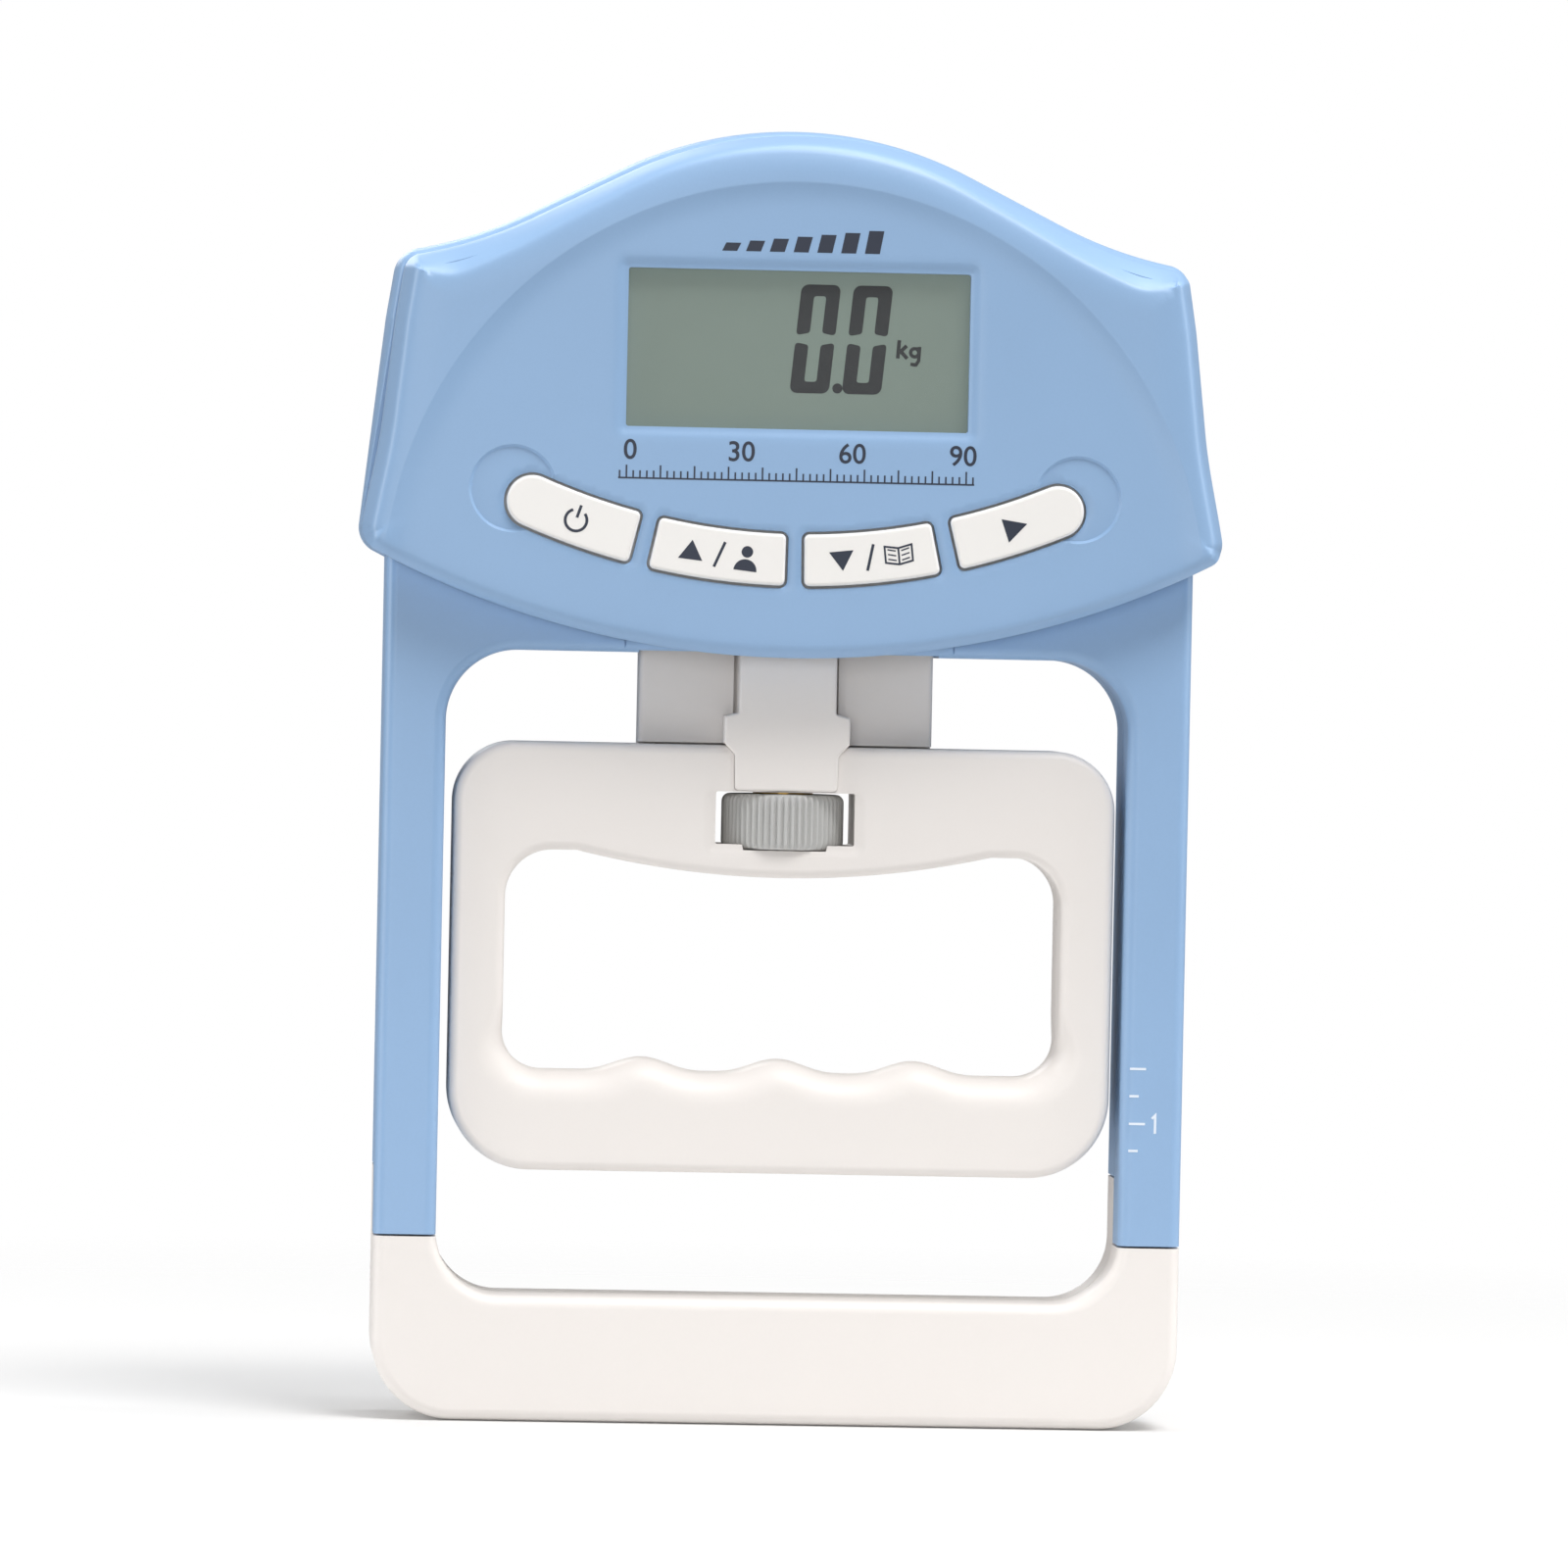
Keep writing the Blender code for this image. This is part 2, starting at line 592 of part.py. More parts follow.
# ================================================================ screws and their posts
def screw(name, kind, x, z, head_back, tip, facing=1):
    """Pan-head screw along Y: the head ends at head_back, the shank at the tip. facing 1 has the head behind."""
    shank, head, height = kind
    under = head_back - facing * height
    profile = [(shank, tip), (shank, under), (head, under), (head * 0.8, head_back)]
    return turned(name, profile, (x, 0, z), "Y", 10)


def mating_posts(name, front_piece, back_piece, kind, x, z, front, seam, back, sink, wall=POST_WALL):
    """A post on each shell: the front one takes the thread, the back one is drilled and counterbored."""
    shank, head, height = kind
    plan_rod(front_piece, "post", x, z, shank + wall, front, seam - GAP / 2)
    plan_rod(back_piece, "post", x, z, head + THIN_POST_WALL, seam + GAP / 2, back)
    plan_rod(front_piece, "drill", x, z, shank + GAP, front + WALL, seam + WALL)
    plan_rod(back_piece, "drill", x, z, shank + GAP, seam - WALL, sink + WALL)
    plan_rod(back_piece, "sink", x, z, head + GAP, sink, BACK + WALL)
    screw(name, kind, x, z, sink + GAP + height, front + WALL + GAP)


# ================================================================ frame, base and head shells
def make_frame_front():
    foot = BASE_HEIGHT + SPLIT_FRONT
    outline = arch_outline(FRAME_HALF_WIDTH, OPENING_HALF_WIDTH, foot - 2 * ROUND, CROSS,
                           CROSS_TOP, OPENING_TOP_ROUND)
    plate_back = LEG_FRONT + PLATE
    made = pillow("frame_front", outline, edges(LEG_FRONT, plate_back, ROUND))
    reach = 2 * FRAME_HALF_WIDTH
    cut(made, guide_box("frame_front_foot", (-reach, reach), (FRONT, BACK), (0, foot + GAP / 2)))
    slot = NECK_HALF_WIDTH + SLIDE
    slot_front = STEM_FRONT - 2 * SLIDE + 0.0001
    cut(made, guide_box("frame_front_slot", (-slot, slot), (slot_front, BACK), (0, CROSS_TOP + WALL)))
    return made


def make_frame_rear():
    foot = BASE_HEIGHT + SPLIT_BACK
    front = LEG_FRONT + PLATE + GAP
    made = pillow("frame_rear", head_outline(), edges(GAP / 2, BACK, 0, HEAD_ROUND))
    legs = arch_outline(FRAME_HALF_WIDTH, OPENING_HALF_WIDTH, foot - 2 * ROUND, CROSS,
                        CROSS_TOP, OPENING_TOP_ROUND)
    add(made, pillow("guide_legs", legs, edges(front, BACK, 0, ROUND), guide=True))
    reach = 2 * FRAME_HALF_WIDTH
    cut(made, guide_box("rear_foot", (-reach, reach), (FRONT, 2 * BACK), (0, foot + GAP / 2)))
    cut(made, prism("guide_rear_hollow", inset(head_outline(), WALL), -WALL, INSIDE_BACK, guide=True))
    leg_hollow = arch_outline(FRAME_HALF_WIDTH - WALL, OPENING_HALF_WIDTH + WALL, foot + WALL,
                              CROSS + WALL, CROSS_TOP + WALL, OPENING_TOP_ROUND)
    cut(made, prism("guide_leg_hollow", leg_hollow, front - WALL, INSIDE_BACK - GAP, guide=True))
    slot = NECK_HALF_WIDTH + SLIDE
    cut(made, guide_box("neck_slot", (-slot, slot), (FRONT, NECK_BACK + 0.001), (0, CROSS + 2 * WALL)))
    return made


def make_head_cover():
    outline = head_outline()
    made = pillow("head_cover", outline, edges(FRONT, -GAP / 2, HEAD_ROUND))
    cut(made, prism("guide_cover_hollow", inset(outline, WALL), INSIDE_FRONT, WALL, guide=True))
    reach = FRAME_HALF_WIDTH + GAP
    cut(made, guide_box("cover_seat", (-reach, reach), (LEG_FRONT - GAP, WALL), (0, CROSS_TOP + GAP)))
    face = []
    face_steps = 60
    for k in range(face_steps):
        turn = 2 * math.pi * k / face_steps
        face.append(Vector((FACE_HALF_WIDTH * math.cos(turn), CROSS + FACE_CENTRE + FACE_RISE * math.sin(turn))))
    cut(made, prism("guide_face", face, FRONT - WALL, FRONT + FACE_RECESS, guide=True))
    lcd_top = LCD_BOTTOM + LCD_HEIGHT
    window = block_outline(LCD_HALF_WIDTH, CROSS + LCD_BOTTOM, CROSS + lcd_top, 0.0004)
    cut(made, prism("guide_window", window, FRONT - WALL, 0, guide=True))
    lap = LENS_LAP + SLIDE
    seat = block_outline(LCD_HALF_WIDTH + lap, CROSS + LCD_BOTTOM - lap, CROSS + lcd_top + lap)
    cut(made, prism("guide_lens_seat", seat, INSIDE_FRONT - LENS_DEPTH, 0, guide=True))
    for side in (-1, 1):
        x, z = side * DIMPLE_PLACE[0], CROSS + DIMPLE_PLACE[1]
        cut(made, guide_rod(f"dimple_{side}", x, z, DIMPLE_RADIUS, FRONT - WALL,
                            FRONT + FACE_RECESS + DIMPLE_DEPTH, 28))
    return made


def make_base_front():
    top = BASE_HEIGHT + SPLIT_BACK
    step = BASE_HEIGHT + SPLIT_FRONT
    arms_front = LEG_FRONT + PLATE + GAP
    seam = BASE_SEAM - GAP / 2
    outline = cradle_outline(FRAME_HALF_WIDTH, OPENING_HALF_WIDTH, 0, BASE_HEIGHT, top + 2 * ROUND)
    made = pillow("base_front", outline, edges(LEG_FRONT, seam, ROUND), WHITE)
    reach = 2 * FRAME_HALF_WIDTH
    cut(made, guide_box("base_top", (-reach, reach), (FRONT, BACK), (top - GAP / 2, 2 * top)))
    cut(made, guide_box("base_step", (-reach, reach), (FRONT, arms_front), (step - GAP / 2, 2 * top)))
    for name, inner_front, ceiling in (("bar", LEG_FRONT + WALL, step), ("arms", arms_front + WALL, top)):
        hollow = cradle_outline(FRAME_HALF_WIDTH - WALL, OPENING_HALF_WIDTH + WALL, WALL,
                                BASE_HEIGHT - WALL, ceiling - WALL)
        cut(made, prism("guide_hollow_" + name, hollow, inner_front, seam + WALL, guide=True))
    return made


def make_base_rear():
    top = BASE_HEIGHT + SPLIT_BACK
    seam = BASE_SEAM + GAP / 2
    outline = cradle_outline(FRAME_HALF_WIDTH, OPENING_HALF_WIDTH, 0, BASE_HEIGHT, top + 2 * ROUND)
    made = pillow("base_rear", outline, edges(seam, BACK, 0, ROUND), WHITE)
    reach = 2 * FRAME_HALF_WIDTH
    cut(made, guide_box("base_rear_top", (-reach, reach), (FRONT, 2 * BACK), (top - GAP / 2, 2 * top)))
    hollow = cradle_outline(FRAME_HALF_WIDTH - WALL, OPENING_HALF_WIDTH + WALL, WALL,
                            BASE_HEIGHT - WALL, top - WALL)
    cut(made, prism("guide_base_rear_hollow", hollow, seam - WALL, INSIDE_BACK, guide=True))
    return made


def join_shells(head_cover, frame_front, frame_rear, base_front, base_rear):
    """The posts and screws that hold the head, the legs and the base together."""
    for i, (out, up) in enumerate([(s * x, z) for x, z in HEAD_POSTS for s in (-1, 1)], 1):
        mating_posts(f"head_screw_{i}", head_cover, frame_rear, CASE_SCREW, out, CROSS + up,
                     INSIDE_FRONT - GAP, 0, INSIDE_BACK + ROOT, INSIDE_BACK - CASE_SEAT)
    leg_middle = FRAME_HALF_WIDTH - LEG_WIDTH / 2
    plate_back = LEG_FRONT + PLATE
    for i, side in enumerate((-1, 1), 1):
        mating_posts(f"leg_screw_{i}", frame_front, frame_rear, LEG_SCREW, side * leg_middle,
                     BASE_HEIGHT + LEG_POST_HEIGHT, plate_back - GAP, plate_back + LEG_SEAM_RISE,
                     INSIDE_BACK + ROOT, INSIDE_BACK - LEG_SEAT, THIN_POST_WALL)
        mating_posts(f"base_screw_{i}", base_front, base_rear, CASE_SCREW, side * BASE_POST,
                     BASE_HEIGHT / 2, LEG_FRONT + WALL - GAP, BASE_SEAM, INSIDE_BACK + ROOT,
                     INSIDE_BACK - CASE_SEAT)


# ================================================================ display and board
def make_display():
    bottom, top = CROSS + LCD_BOTTOM, CROSS + LCD_BOTTOM + LCD_HEIGHT
    lens = block_outline(LCD_HALF_WIDTH + LENS_LAP, bottom - LENS_LAP, top + LENS_LAP)
    prism("lcd_window", lens, INSIDE_FRONT - LENS_THICKNESS, INSIDE_FRONT, CLEAR)
    lap = GLASS_LAP
    front = INSIDE_FRONT + GAP
    glass = block_outline(LCD_HALF_WIDTH + lap, bottom - lap, top + lap)
    prism("lcd_glass", glass, front, front + GLASS_THICKNESS, LCD)
    rim = block_outline(LCD_HALF_WIDTH + lap + GAP + HOLDER_RIM, bottom - lap - GAP - HOLDER_RIM,
                        top + lap + GAP + HOLDER_RIM)
    holder = prism("lcd_holder", rim, front, BOARD_Y - GAP, BLACK)
    cut(holder, prism("guide_holder", inset(rim, HOLDER_RIM), FRONT, 0, guide=True))
    zebra_front = front + GLASS_THICKNESS + GAP
    box("zebra_strip", (-LCD_HALF_WIDTH, LCD_HALF_WIDTH), (zebra_front, BOARD_Y - GAP),
        (bottom - lap, bottom - lap + ZEBRA_HEIGHT), RUBBER)


def make_board(head_cover):
    half, foot, top = BOARD_HALF_WIDTH, CROSS + BOARD_FOOT, CROSS + BOARD_TOP
    low, high = BOARD_CHAMFER, BOARD_SHOULDER
    outline = rounded([(half - low, foot, 0), (half, foot + low, 0), (half, top - high, 0), (half - high, top, 0),
                       (high - half, top, 0), (-half, top - high, 0), (-half, foot + low, 0), (low - half, foot, 0)])
    board_back = BOARD_Y + BOARD_THICKNESS
    board = prism("main_board", outline, BOARD_Y, board_back, BOARD)
    dome = [(CHIP_RADIUS, board_back + GAP), (CHIP_RADIUS * 0.85, board_back + GAP + CHIP_HEIGHT * 0.7),
            (CHIP_RADIUS * 0.4, board_back + GAP + CHIP_HEIGHT)]
    turned("cob_chip", dome, (CHIP_PLACE[0], 0, CROSS + CHIP_PLACE[1]), "Y", 16, BLACK)
    shank, _, height = BOARD_SCREW
    for i, side in enumerate((-1, 1), 1):
        x, z = side * BOARD_POST[0], CROSS + BOARD_POST[1]
        name = f"board_screw_{i}"
        plan_rod(head_cover, "post", x, z, shank + POST_WALL, INSIDE_FRONT - GAP, BOARD_Y - GAP)
        plan_rod(head_cover, "drill", x, z, shank + GAP, INSIDE_FRONT + GAP, 0)
        cut(board, guide_rod(name + "_hole", x, z, shank + GAP, FRONT, 0))
        screw(name, BOARD_SCREW, x, z, board_back + GAP + height, INSIDE_FRONT + 2 * GAP)


def make_key(name, number, outline, middle_angle, side, head_cover):
    """A key cap with a flange behind the cover, the switch that it presses, and its hole."""
    if side < 0:
        outline = mirrored(outline)
    front = FRONT + FACE_RECESS - KEY_PROUD
    flange_front = INSIDE_FRONT + GAP
    flange_back = flange_front + KEY_FLANGE_DEPTH
    soft = 0.0003
    profile = [(soft, front), (0, front + soft), (0, flange_front), (-KEY_FLANGE, flange_front),
               (-KEY_FLANGE, flange_back)]
    cap = pillow(name, outline, profile, WHITE)
    x = side * KEY_RADIUS * math.sin(middle_angle)
    z = CROSS + KEY_CENTRE - KEY_RADIUS * math.cos(middle_angle)
    cut(head_cover, prism("guide_hole_" + name, inset(outline, -SLIDE), FRONT - WALL, 0, guide=True))
    switch_back = BOARD_Y - GAP
    switch_front = flange_back + KEY_TRAVEL + GAP
    half = SWITCH_SIDE / 2
    body = box(f"switch_body_{number}", (x - half, x + half), (switch_front, switch_back), (z - half, z + half),
               BLACK)
    cut(body, guide_rod("hole_" + name, x, z, PLUNGER_RADIUS + GAP, FRONT, 0, 12))
    top = flange_back + GAP
    plunger_end = switch_back - KEY_TRAVEL
    plunger = turned(f"switch_plunger_{number}", [(PLUNGER_RADIUS, top), (PLUNGER_RADIUS, plunger_end)],
                     (x, 0, z), "Y", 12, STEEL)
    set_origin(cap, (x, front, z))
    set_origin(plunger, (x, top, z))


def make_keys(head_cover):
    inner_end = KEY_START_ANGLE + KEY_ANGLE
    outer_start = inner_end + KEY_SPACE
    outer_end = outer_start + OUTER_KEY_ANGLE
    inner = key_outline(KEY_START_ANGLE, inner_end, False)
    outer = key_outline(outer_start, outer_end, True)
    inner_middle = (KEY_START_ANGLE + inner_end) / 2
    outer_middle = (outer_start + outer_end) / 2
    make_key("key_power", 1, outer, outer_middle, -1, head_cover)
    make_key("key_up", 2, inner, inner_middle, -1, head_cover)
    make_key("key_down", 3, inner, inner_middle, 1, head_cover)
    make_key("key_start", 4, outer, outer_middle, 1, head_cover)


# ================================================================ load cell, bracket and rod
def hexagon(name, flats_width, bottom, top):
    corner = flats_width / math.sqrt(3)
    return turned(name, [(corner, bottom), (corner, top)], (0, AXIS_Y, 0), "Z", 6, STEEL)


def make_load_cell(frame_rear):
    half = CELL_HALF_WIDTH
    depth = (CELL_FRONT, CELL_FRONT + CELL_DEPTH)
    through = (CELL_FRONT - WALL, CELL_FRONT + CELL_DEPTH + WALL)
    middle = CELL_BOTTOM + CELL_HEIGHT / 2
    cell = box("load_cell", (-half, half), depth, (CELL_BOTTOM, CELL_TOP), ALUMINIUM)
    offset = GAUGE_RADIUS + CELL_LAND
    cut(cell, guide_box("lower_slot", (-half + CELL_WEB, 2 * half), through,
                        (middle - offset - CELL_SLOT, middle - offset)))
    cut(cell, guide_box("upper_slot", (-2 * half, half - CELL_WEB), through,
                        (middle + offset, middle + offset + CELL_SLOT)))
    cut(cell, guide_rod("gauge_hole", 0, middle, GAUGE_RADIUS, *through))
    bore_depth = CELL_HEIGHT / 2 - offset - CELL_SLOT - CELL_LAND
    bore = ROD_RADIUS + GAP
    cut(cell, turned("guide_rod_bore", [(bore, CELL_BOTTOM - WALL), (bore, CELL_BOTTOM + bore_depth)],
                     (0, AXIS_Y, 0), guide=True))
    cut(cell, turned("guide_bolt_bore", [(bore, CELL_TOP - bore_depth), (bore, CELL_TOP + WALL)],
                     (0, AXIS_Y, 0), guide=True))
    turned("gauge_potting", [(GAUGE_RADIUS - GAP, depth[0] + GAP), (GAUGE_RADIUS - GAP, depth[1] - GAP)],
           (0, 0, middle), "Y", 12, POTTING)

    rod_bottom = HANDLE_TOP - ROD_REACH
    rod_top = CELL_BOTTOM + bore_depth - GAP
    chamfer = ROD_RADIUS * 0.2
    turned("pull_rod", [(ROD_RADIUS - chamfer, rod_bottom), (ROD_RADIUS, rod_bottom + chamfer), (ROD_RADIUS, rod_top)],
           (0, AXIS_Y, 0))
    nut = hexagon("rod_locknut", NUT_FLATS, NUT_BOTTOM, NUT_BOTTOM + NUT_HEIGHT)
    cut(nut, turned("guide_nut_bore", [(bore, NUT_BOTTOM - WALL), (bore, NUT_BOTTOM + 3 * WALL)],
                    (0, AXIS_Y, 0), guide=True))

    bracket = box("cell_bracket", (-BRACKET_HALF_WIDTH, BRACKET_HALF_WIDTH),
                  (depth[0] + LUG_INSET, depth[1] - LUG_INSET), (BRACKET_BOTTOM, BRACKET_TOP), STEEL)
    lug_front = depth[0] + LUG_INSET
    lug_back = lug_front + LUG_THICKNESS
    lug_foot = BRACKET_BOTTOM - LUG_DROP
    cut(bracket, turned("guide_bracket_bore", [(bore, BRACKET_BOTTOM - WALL), (bore, BRACKET_TOP + WALL)],
                        (0, AXIS_Y, 0), guide=True))
    shank, _, height = BRACKET_SCREW
    lug_middle = BRACKET_HALF_WIDTH - LUG_WIDTH / 2
    screw_z = lug_foot + LUG_WIDTH * LUG_SCREW
    for i, side in enumerate((-1, 1), 1):
        x = side * lug_middle
        name = f"bracket_screw_{i}"
        add(bracket, guide_box(name + "_lug", (x - LUG_WIDTH / 2, x + LUG_WIDTH / 2), (lug_front, lug_back),
                               (lug_foot, BRACKET_TOP)))
        cut(bracket, guide_rod(name + "_hole", x, screw_z, shank + GAP, lug_front - WALL, lug_back + WALL))
        post_front = lug_back + GAP
        plan_rod(frame_rear, "post", x, screw_z, shank + POST_WALL, post_front, INSIDE_BACK + ROOT)
        plan_rod(frame_rear, "drill", x, screw_z, shank + GAP, post_front - WALL, INSIDE_BACK - WALL)
        screw(name, BRACKET_SCREW, x, screw_z, lug_front - GAP - height, INSIDE_BACK - WALL - GAP, facing=-1)

    head_bottom_z = BRACKET_TOP + GAP
    corner = NUT_FLATS / math.sqrt(3)
    shank_end = CELL_TOP - bore_depth + GAP
    bolt = turned("cell_bolt", [(ROD_RADIUS, shank_end), (ROD_RADIUS, head_bottom_z + GAP)], (0, AXIS_Y, 0))
    bolt_head = turned("guide_bolt_head", [(corner, head_bottom_z), (corner, head_bottom_z + NUT_HEIGHT)],
                       (0, AXIS_Y, 0), "Z", 6, guide=True)
    add(bolt, bolt_head)

    cable_radius = 0.0008
    leave = CELL_FRONT - GAP - cable_radius
    arrive = BOARD_Y + BOARD_THICKNESS + GAP + cable_radius
    wire("cell_cable", [Vector((0, leave, middle)), Vector((0.0010, (leave + arrive) / 2, middle + 0.004)),
                        Vector((0.0030, arrive, middle + 0.008))], cable_radius, WIRE_GREY)


# ================================================================ battery bay
def make_batteries(frame_rear):
    half, wall = BAY_HALF_WIDTH, BAY_WALL
    bottom, top = BAY_BOTTOM, BAY_BOTTOM + BAY_HEIGHT
    add(frame_rear, guide_box("bay", (-half - wall, half + wall), (BAY_FLOOR - wall, INSIDE_BACK + GAP),
                              (bottom - wall, top + wall)))
    cut(frame_rear, guide_box("bay_hollow", (-half, half), (BAY_FLOOR, 2 * BACK), (bottom, top)))
    lap = DOOR_LAP
    cut(frame_rear, guide_box("door_seat", (-half - lap, half + lap), (INSIDE_BACK, 2 * BACK),
                              (bottom - lap, top + lap)))
    play = SLIDE
    door = box("battery_door", (-half - lap + play, half + lap - play), (INSIDE_BACK + GAP, BACK),
               (bottom - lap + play, top + lap - play))
    grip_middle = top - GRIP_DROP
    cut(door, guide_box("door_grip", (-GRIP_HALF_WIDTH, GRIP_HALF_WIDTH), (BACK - GRIP_DEPTH, BACK + WALL),
                        (grip_middle - GRIP_HALF_HEIGHT, grip_middle + GRIP_HALF_HEIGHT)))
    set_origin(door, (0, BACK + HINGE_OUT, bottom - lap + play))

    rows = [bottom + BAY_HEIGHT / 4, bottom + 3 * BAY_HEIGHT / 4]
    for i, (z, side) in enumerate(zip(rows, (1, -1)), 1):
        start = -side * CELL_LENGTH / 2
        reach = side * CELL_LENGTH
        shoulder = start + reach - side * NUB_HEIGHT
        end_radius = CELL_RADIUS - CELL_CHAMFER
        profile = [(end_radius, start), (CELL_RADIUS, start + side * CELL_CHAMFER),
                   (CELL_RADIUS, shoulder - side * CELL_CHAMFER), (end_radius, shoulder),
                   (NUB_RADIUS, shoulder), (NUB_RADIUS, start + reach)]
        turned(f"battery_{i}", profile, (0, BATTERY_Y, z), "X", 20, BATTERY)

    reach = BATTERY_Y - BAY_FLOOR - CONTACT_MARGIN
    plate_ys = (BATTERY_Y - reach, BATTERY_Y + reach)
    outer = half - GAP
    box("contact_link", (-outer, -outer + CONTACT), plate_ys, (rows[0] - reach, rows[1] + reach), STEEL)
    box("contact_plate", (outer - CONTACT, outer), plate_ys, (rows[0] - reach, rows[0] + reach), STEEL)
    for i, (z, side) in enumerate(zip(rows, (-1, 1)), 1):
        start = outer - CONTACT - GAP - SPRING_WIRE if side < 0 else outer - SPRING_WIRE
        stop = CELL_LENGTH / 2 + GAP + SPRING_WIRE
        turns, per_turn = 3, 10
        wide, narrow = SPRING_RADIUS
        count = turns * per_turn
        coil = []
        for k in range(count + 1):
            angle = 2 * math.pi * k / per_turn
            radius = wide + (narrow - wide) * k / count
            x = start + (stop - start) * k / count
            coil.append(Vector((side * x, BATTERY_Y + radius * math.cos(angle), z + radius * math.sin(angle))))
        coil_piece(f"contact_spring_{i}", coil, SPRING_WIRE)

    lead = 0.0006
    side_x = half + wall + GAP + lead
    arrive = BOARD_Y + BOARD_THICKNESS + GAP + lead
    for name, z, out, paint in (("lead_red", rows[0], 0.0310, WIRE_RED), ("lead_black", rows[1], 0.0340, WIRE_BLACK)):
        wire(name, [Vector((side_x, 0.0030, z)), Vector((side_x + 0.0020, 0.0005, z - 0.0010)),
                    Vector((out, -0.0025, z - 0.0040)), Vector((out - 0.0020, arrive, rows[0] - 0.0080))],
             lead, paint)


def coil_piece(name, points, radius):
    curve = bpy.data.curves.new(name, "CURVE")
    curve.dimensions = "3D"
    line = curve.splines.new("POLY")
    line.points.add(len(points) - 1)
    for point, place in zip(line.points, points):
        point.co = (*place, 1)
    curve.bevel_depth = radius
    curve.bevel_resolution = 0
    curve.use_fill_caps = True
    curve.materials.append(STEEL)
    made = bpy.data.objects.new(name, curve)
    bpy.context.collection.objects.link(made)


# ================================================================ handle, wheel and stem
def flare(front, depth, radius):
    """Profile of a hole's cutter that rounds the hole's edge on the side where it starts."""
    flats = 2
    sign = 1 if depth > front else -1
    pairs = [(lambda p: -radius(p), front - sign * WALL)]
    for k in range(flats + 1):
        turn = math.pi / 2 * k / flats
        amount = 1 - math.sin(turn)
        rise = GRIP_ROUND * (1 - math.cos(turn))
        pairs.append((lambda p, amount=amount: -radius(p) * amount, front + sign * rise))
    pairs.append((0, depth))
    return pairs


def grip_round(point):
    """The hole's edge is softer along the fingers than at its sides and top."""
    above = point.y - HANDLE_FOOT - GRIP_HEIGHT - FINGER_RISE
    share = max(0.0, min(1.0, 1 - above / HOLE_FOOT_ROUND))
    return HANDLE_EDGE + (GRIP_ROUND - HANDLE_EDGE) * share**2


def handle_half(name, face, seam, front_round, back_round):
    """One half of the handle: an outer ring, hollowed from the seam, with the finger hole through it."""
    outer, hole = handle_outline(), hole_outline()
    low, high = min(face, seam), max(face, seam)
    made = pillow(name, outer, edges(low, high, front_round, back_round), WHITE)
    inner_face = face + HANDLE_SHELL if face < seam else face - HANDLE_SHELL
    beyond = seam + WALL if face < seam else seam - WALL
    hollow = prism(f"guide_{name}_hollow", inset(outer, WALL), *sorted((inner_face, beyond)), guide=True)
    side = HOLE_HALF_WIDTH + WALL
    valley = HANDLE_FOOT + GRIP_HEIGHT
    cut(hollow, guide_box(name + "_island", (-side, side), (FRONT, BACK),
                          (valley - GRIP_ROUND, HANDLE_TOP - HOLE_TOP + WALL)))
    wheel_room = WINDOW_HALF_WIDTH + 2 * WALL
    cut(hollow, guide_box(name + "_wheel_room", (-wheel_room, wheel_room), (FRONT, BACK),
                          (HANDLE_FOOT + HANDLE_HEIGHT / 2, HANDLE_TOP)))
    for i, (x, z) in enumerate(handle_post_places(), 1):
        cut(hollow, guide_rod(f"{name}_post_{i}", x, z, CASE_SCREW[1] + WALL * 0.7, FRONT, BACK))
    cut(made, hollow)
    cut(made, pillow(f"guide_{name}_hole", hole, flare(face, beyond, grip_round), guide=True))
    pocket = WHEEL_RADIUS + SLIDE
    cut(made, turned(f"guide_{name}_pocket", [(pocket, WINDOW_SILL - CRESCENT), (pocket, WINDOW_CEILING)],
                     (0, AXIS_Y, 0), "Z", 40, guide=True))
    cut(made, guide_box(name + "_window", (-WINDOW_HALF_WIDTH, WINDOW_HALF_WIDTH), (2 * FRONT, 2 * BACK),
                        (WINDOW_SILL, WINDOW_CEILING)))
    bore = SLEEVE_RADIUS + SLIDE
    cut(made, turned(f"guide_{name}_bore", [(bore, WINDOW_CEILING - WALL), (bore, NECK_TOP + WALL)],
                     (0, AXIS_Y, 0), "Z", 24, guide=True))
    return made


def handle_post_places():
    return [(side * (HANDLE_HALF_WIDTH - x), HANDLE_FOOT + z) for x, z in HANDLE_POSTS for side in (-1, 1)]


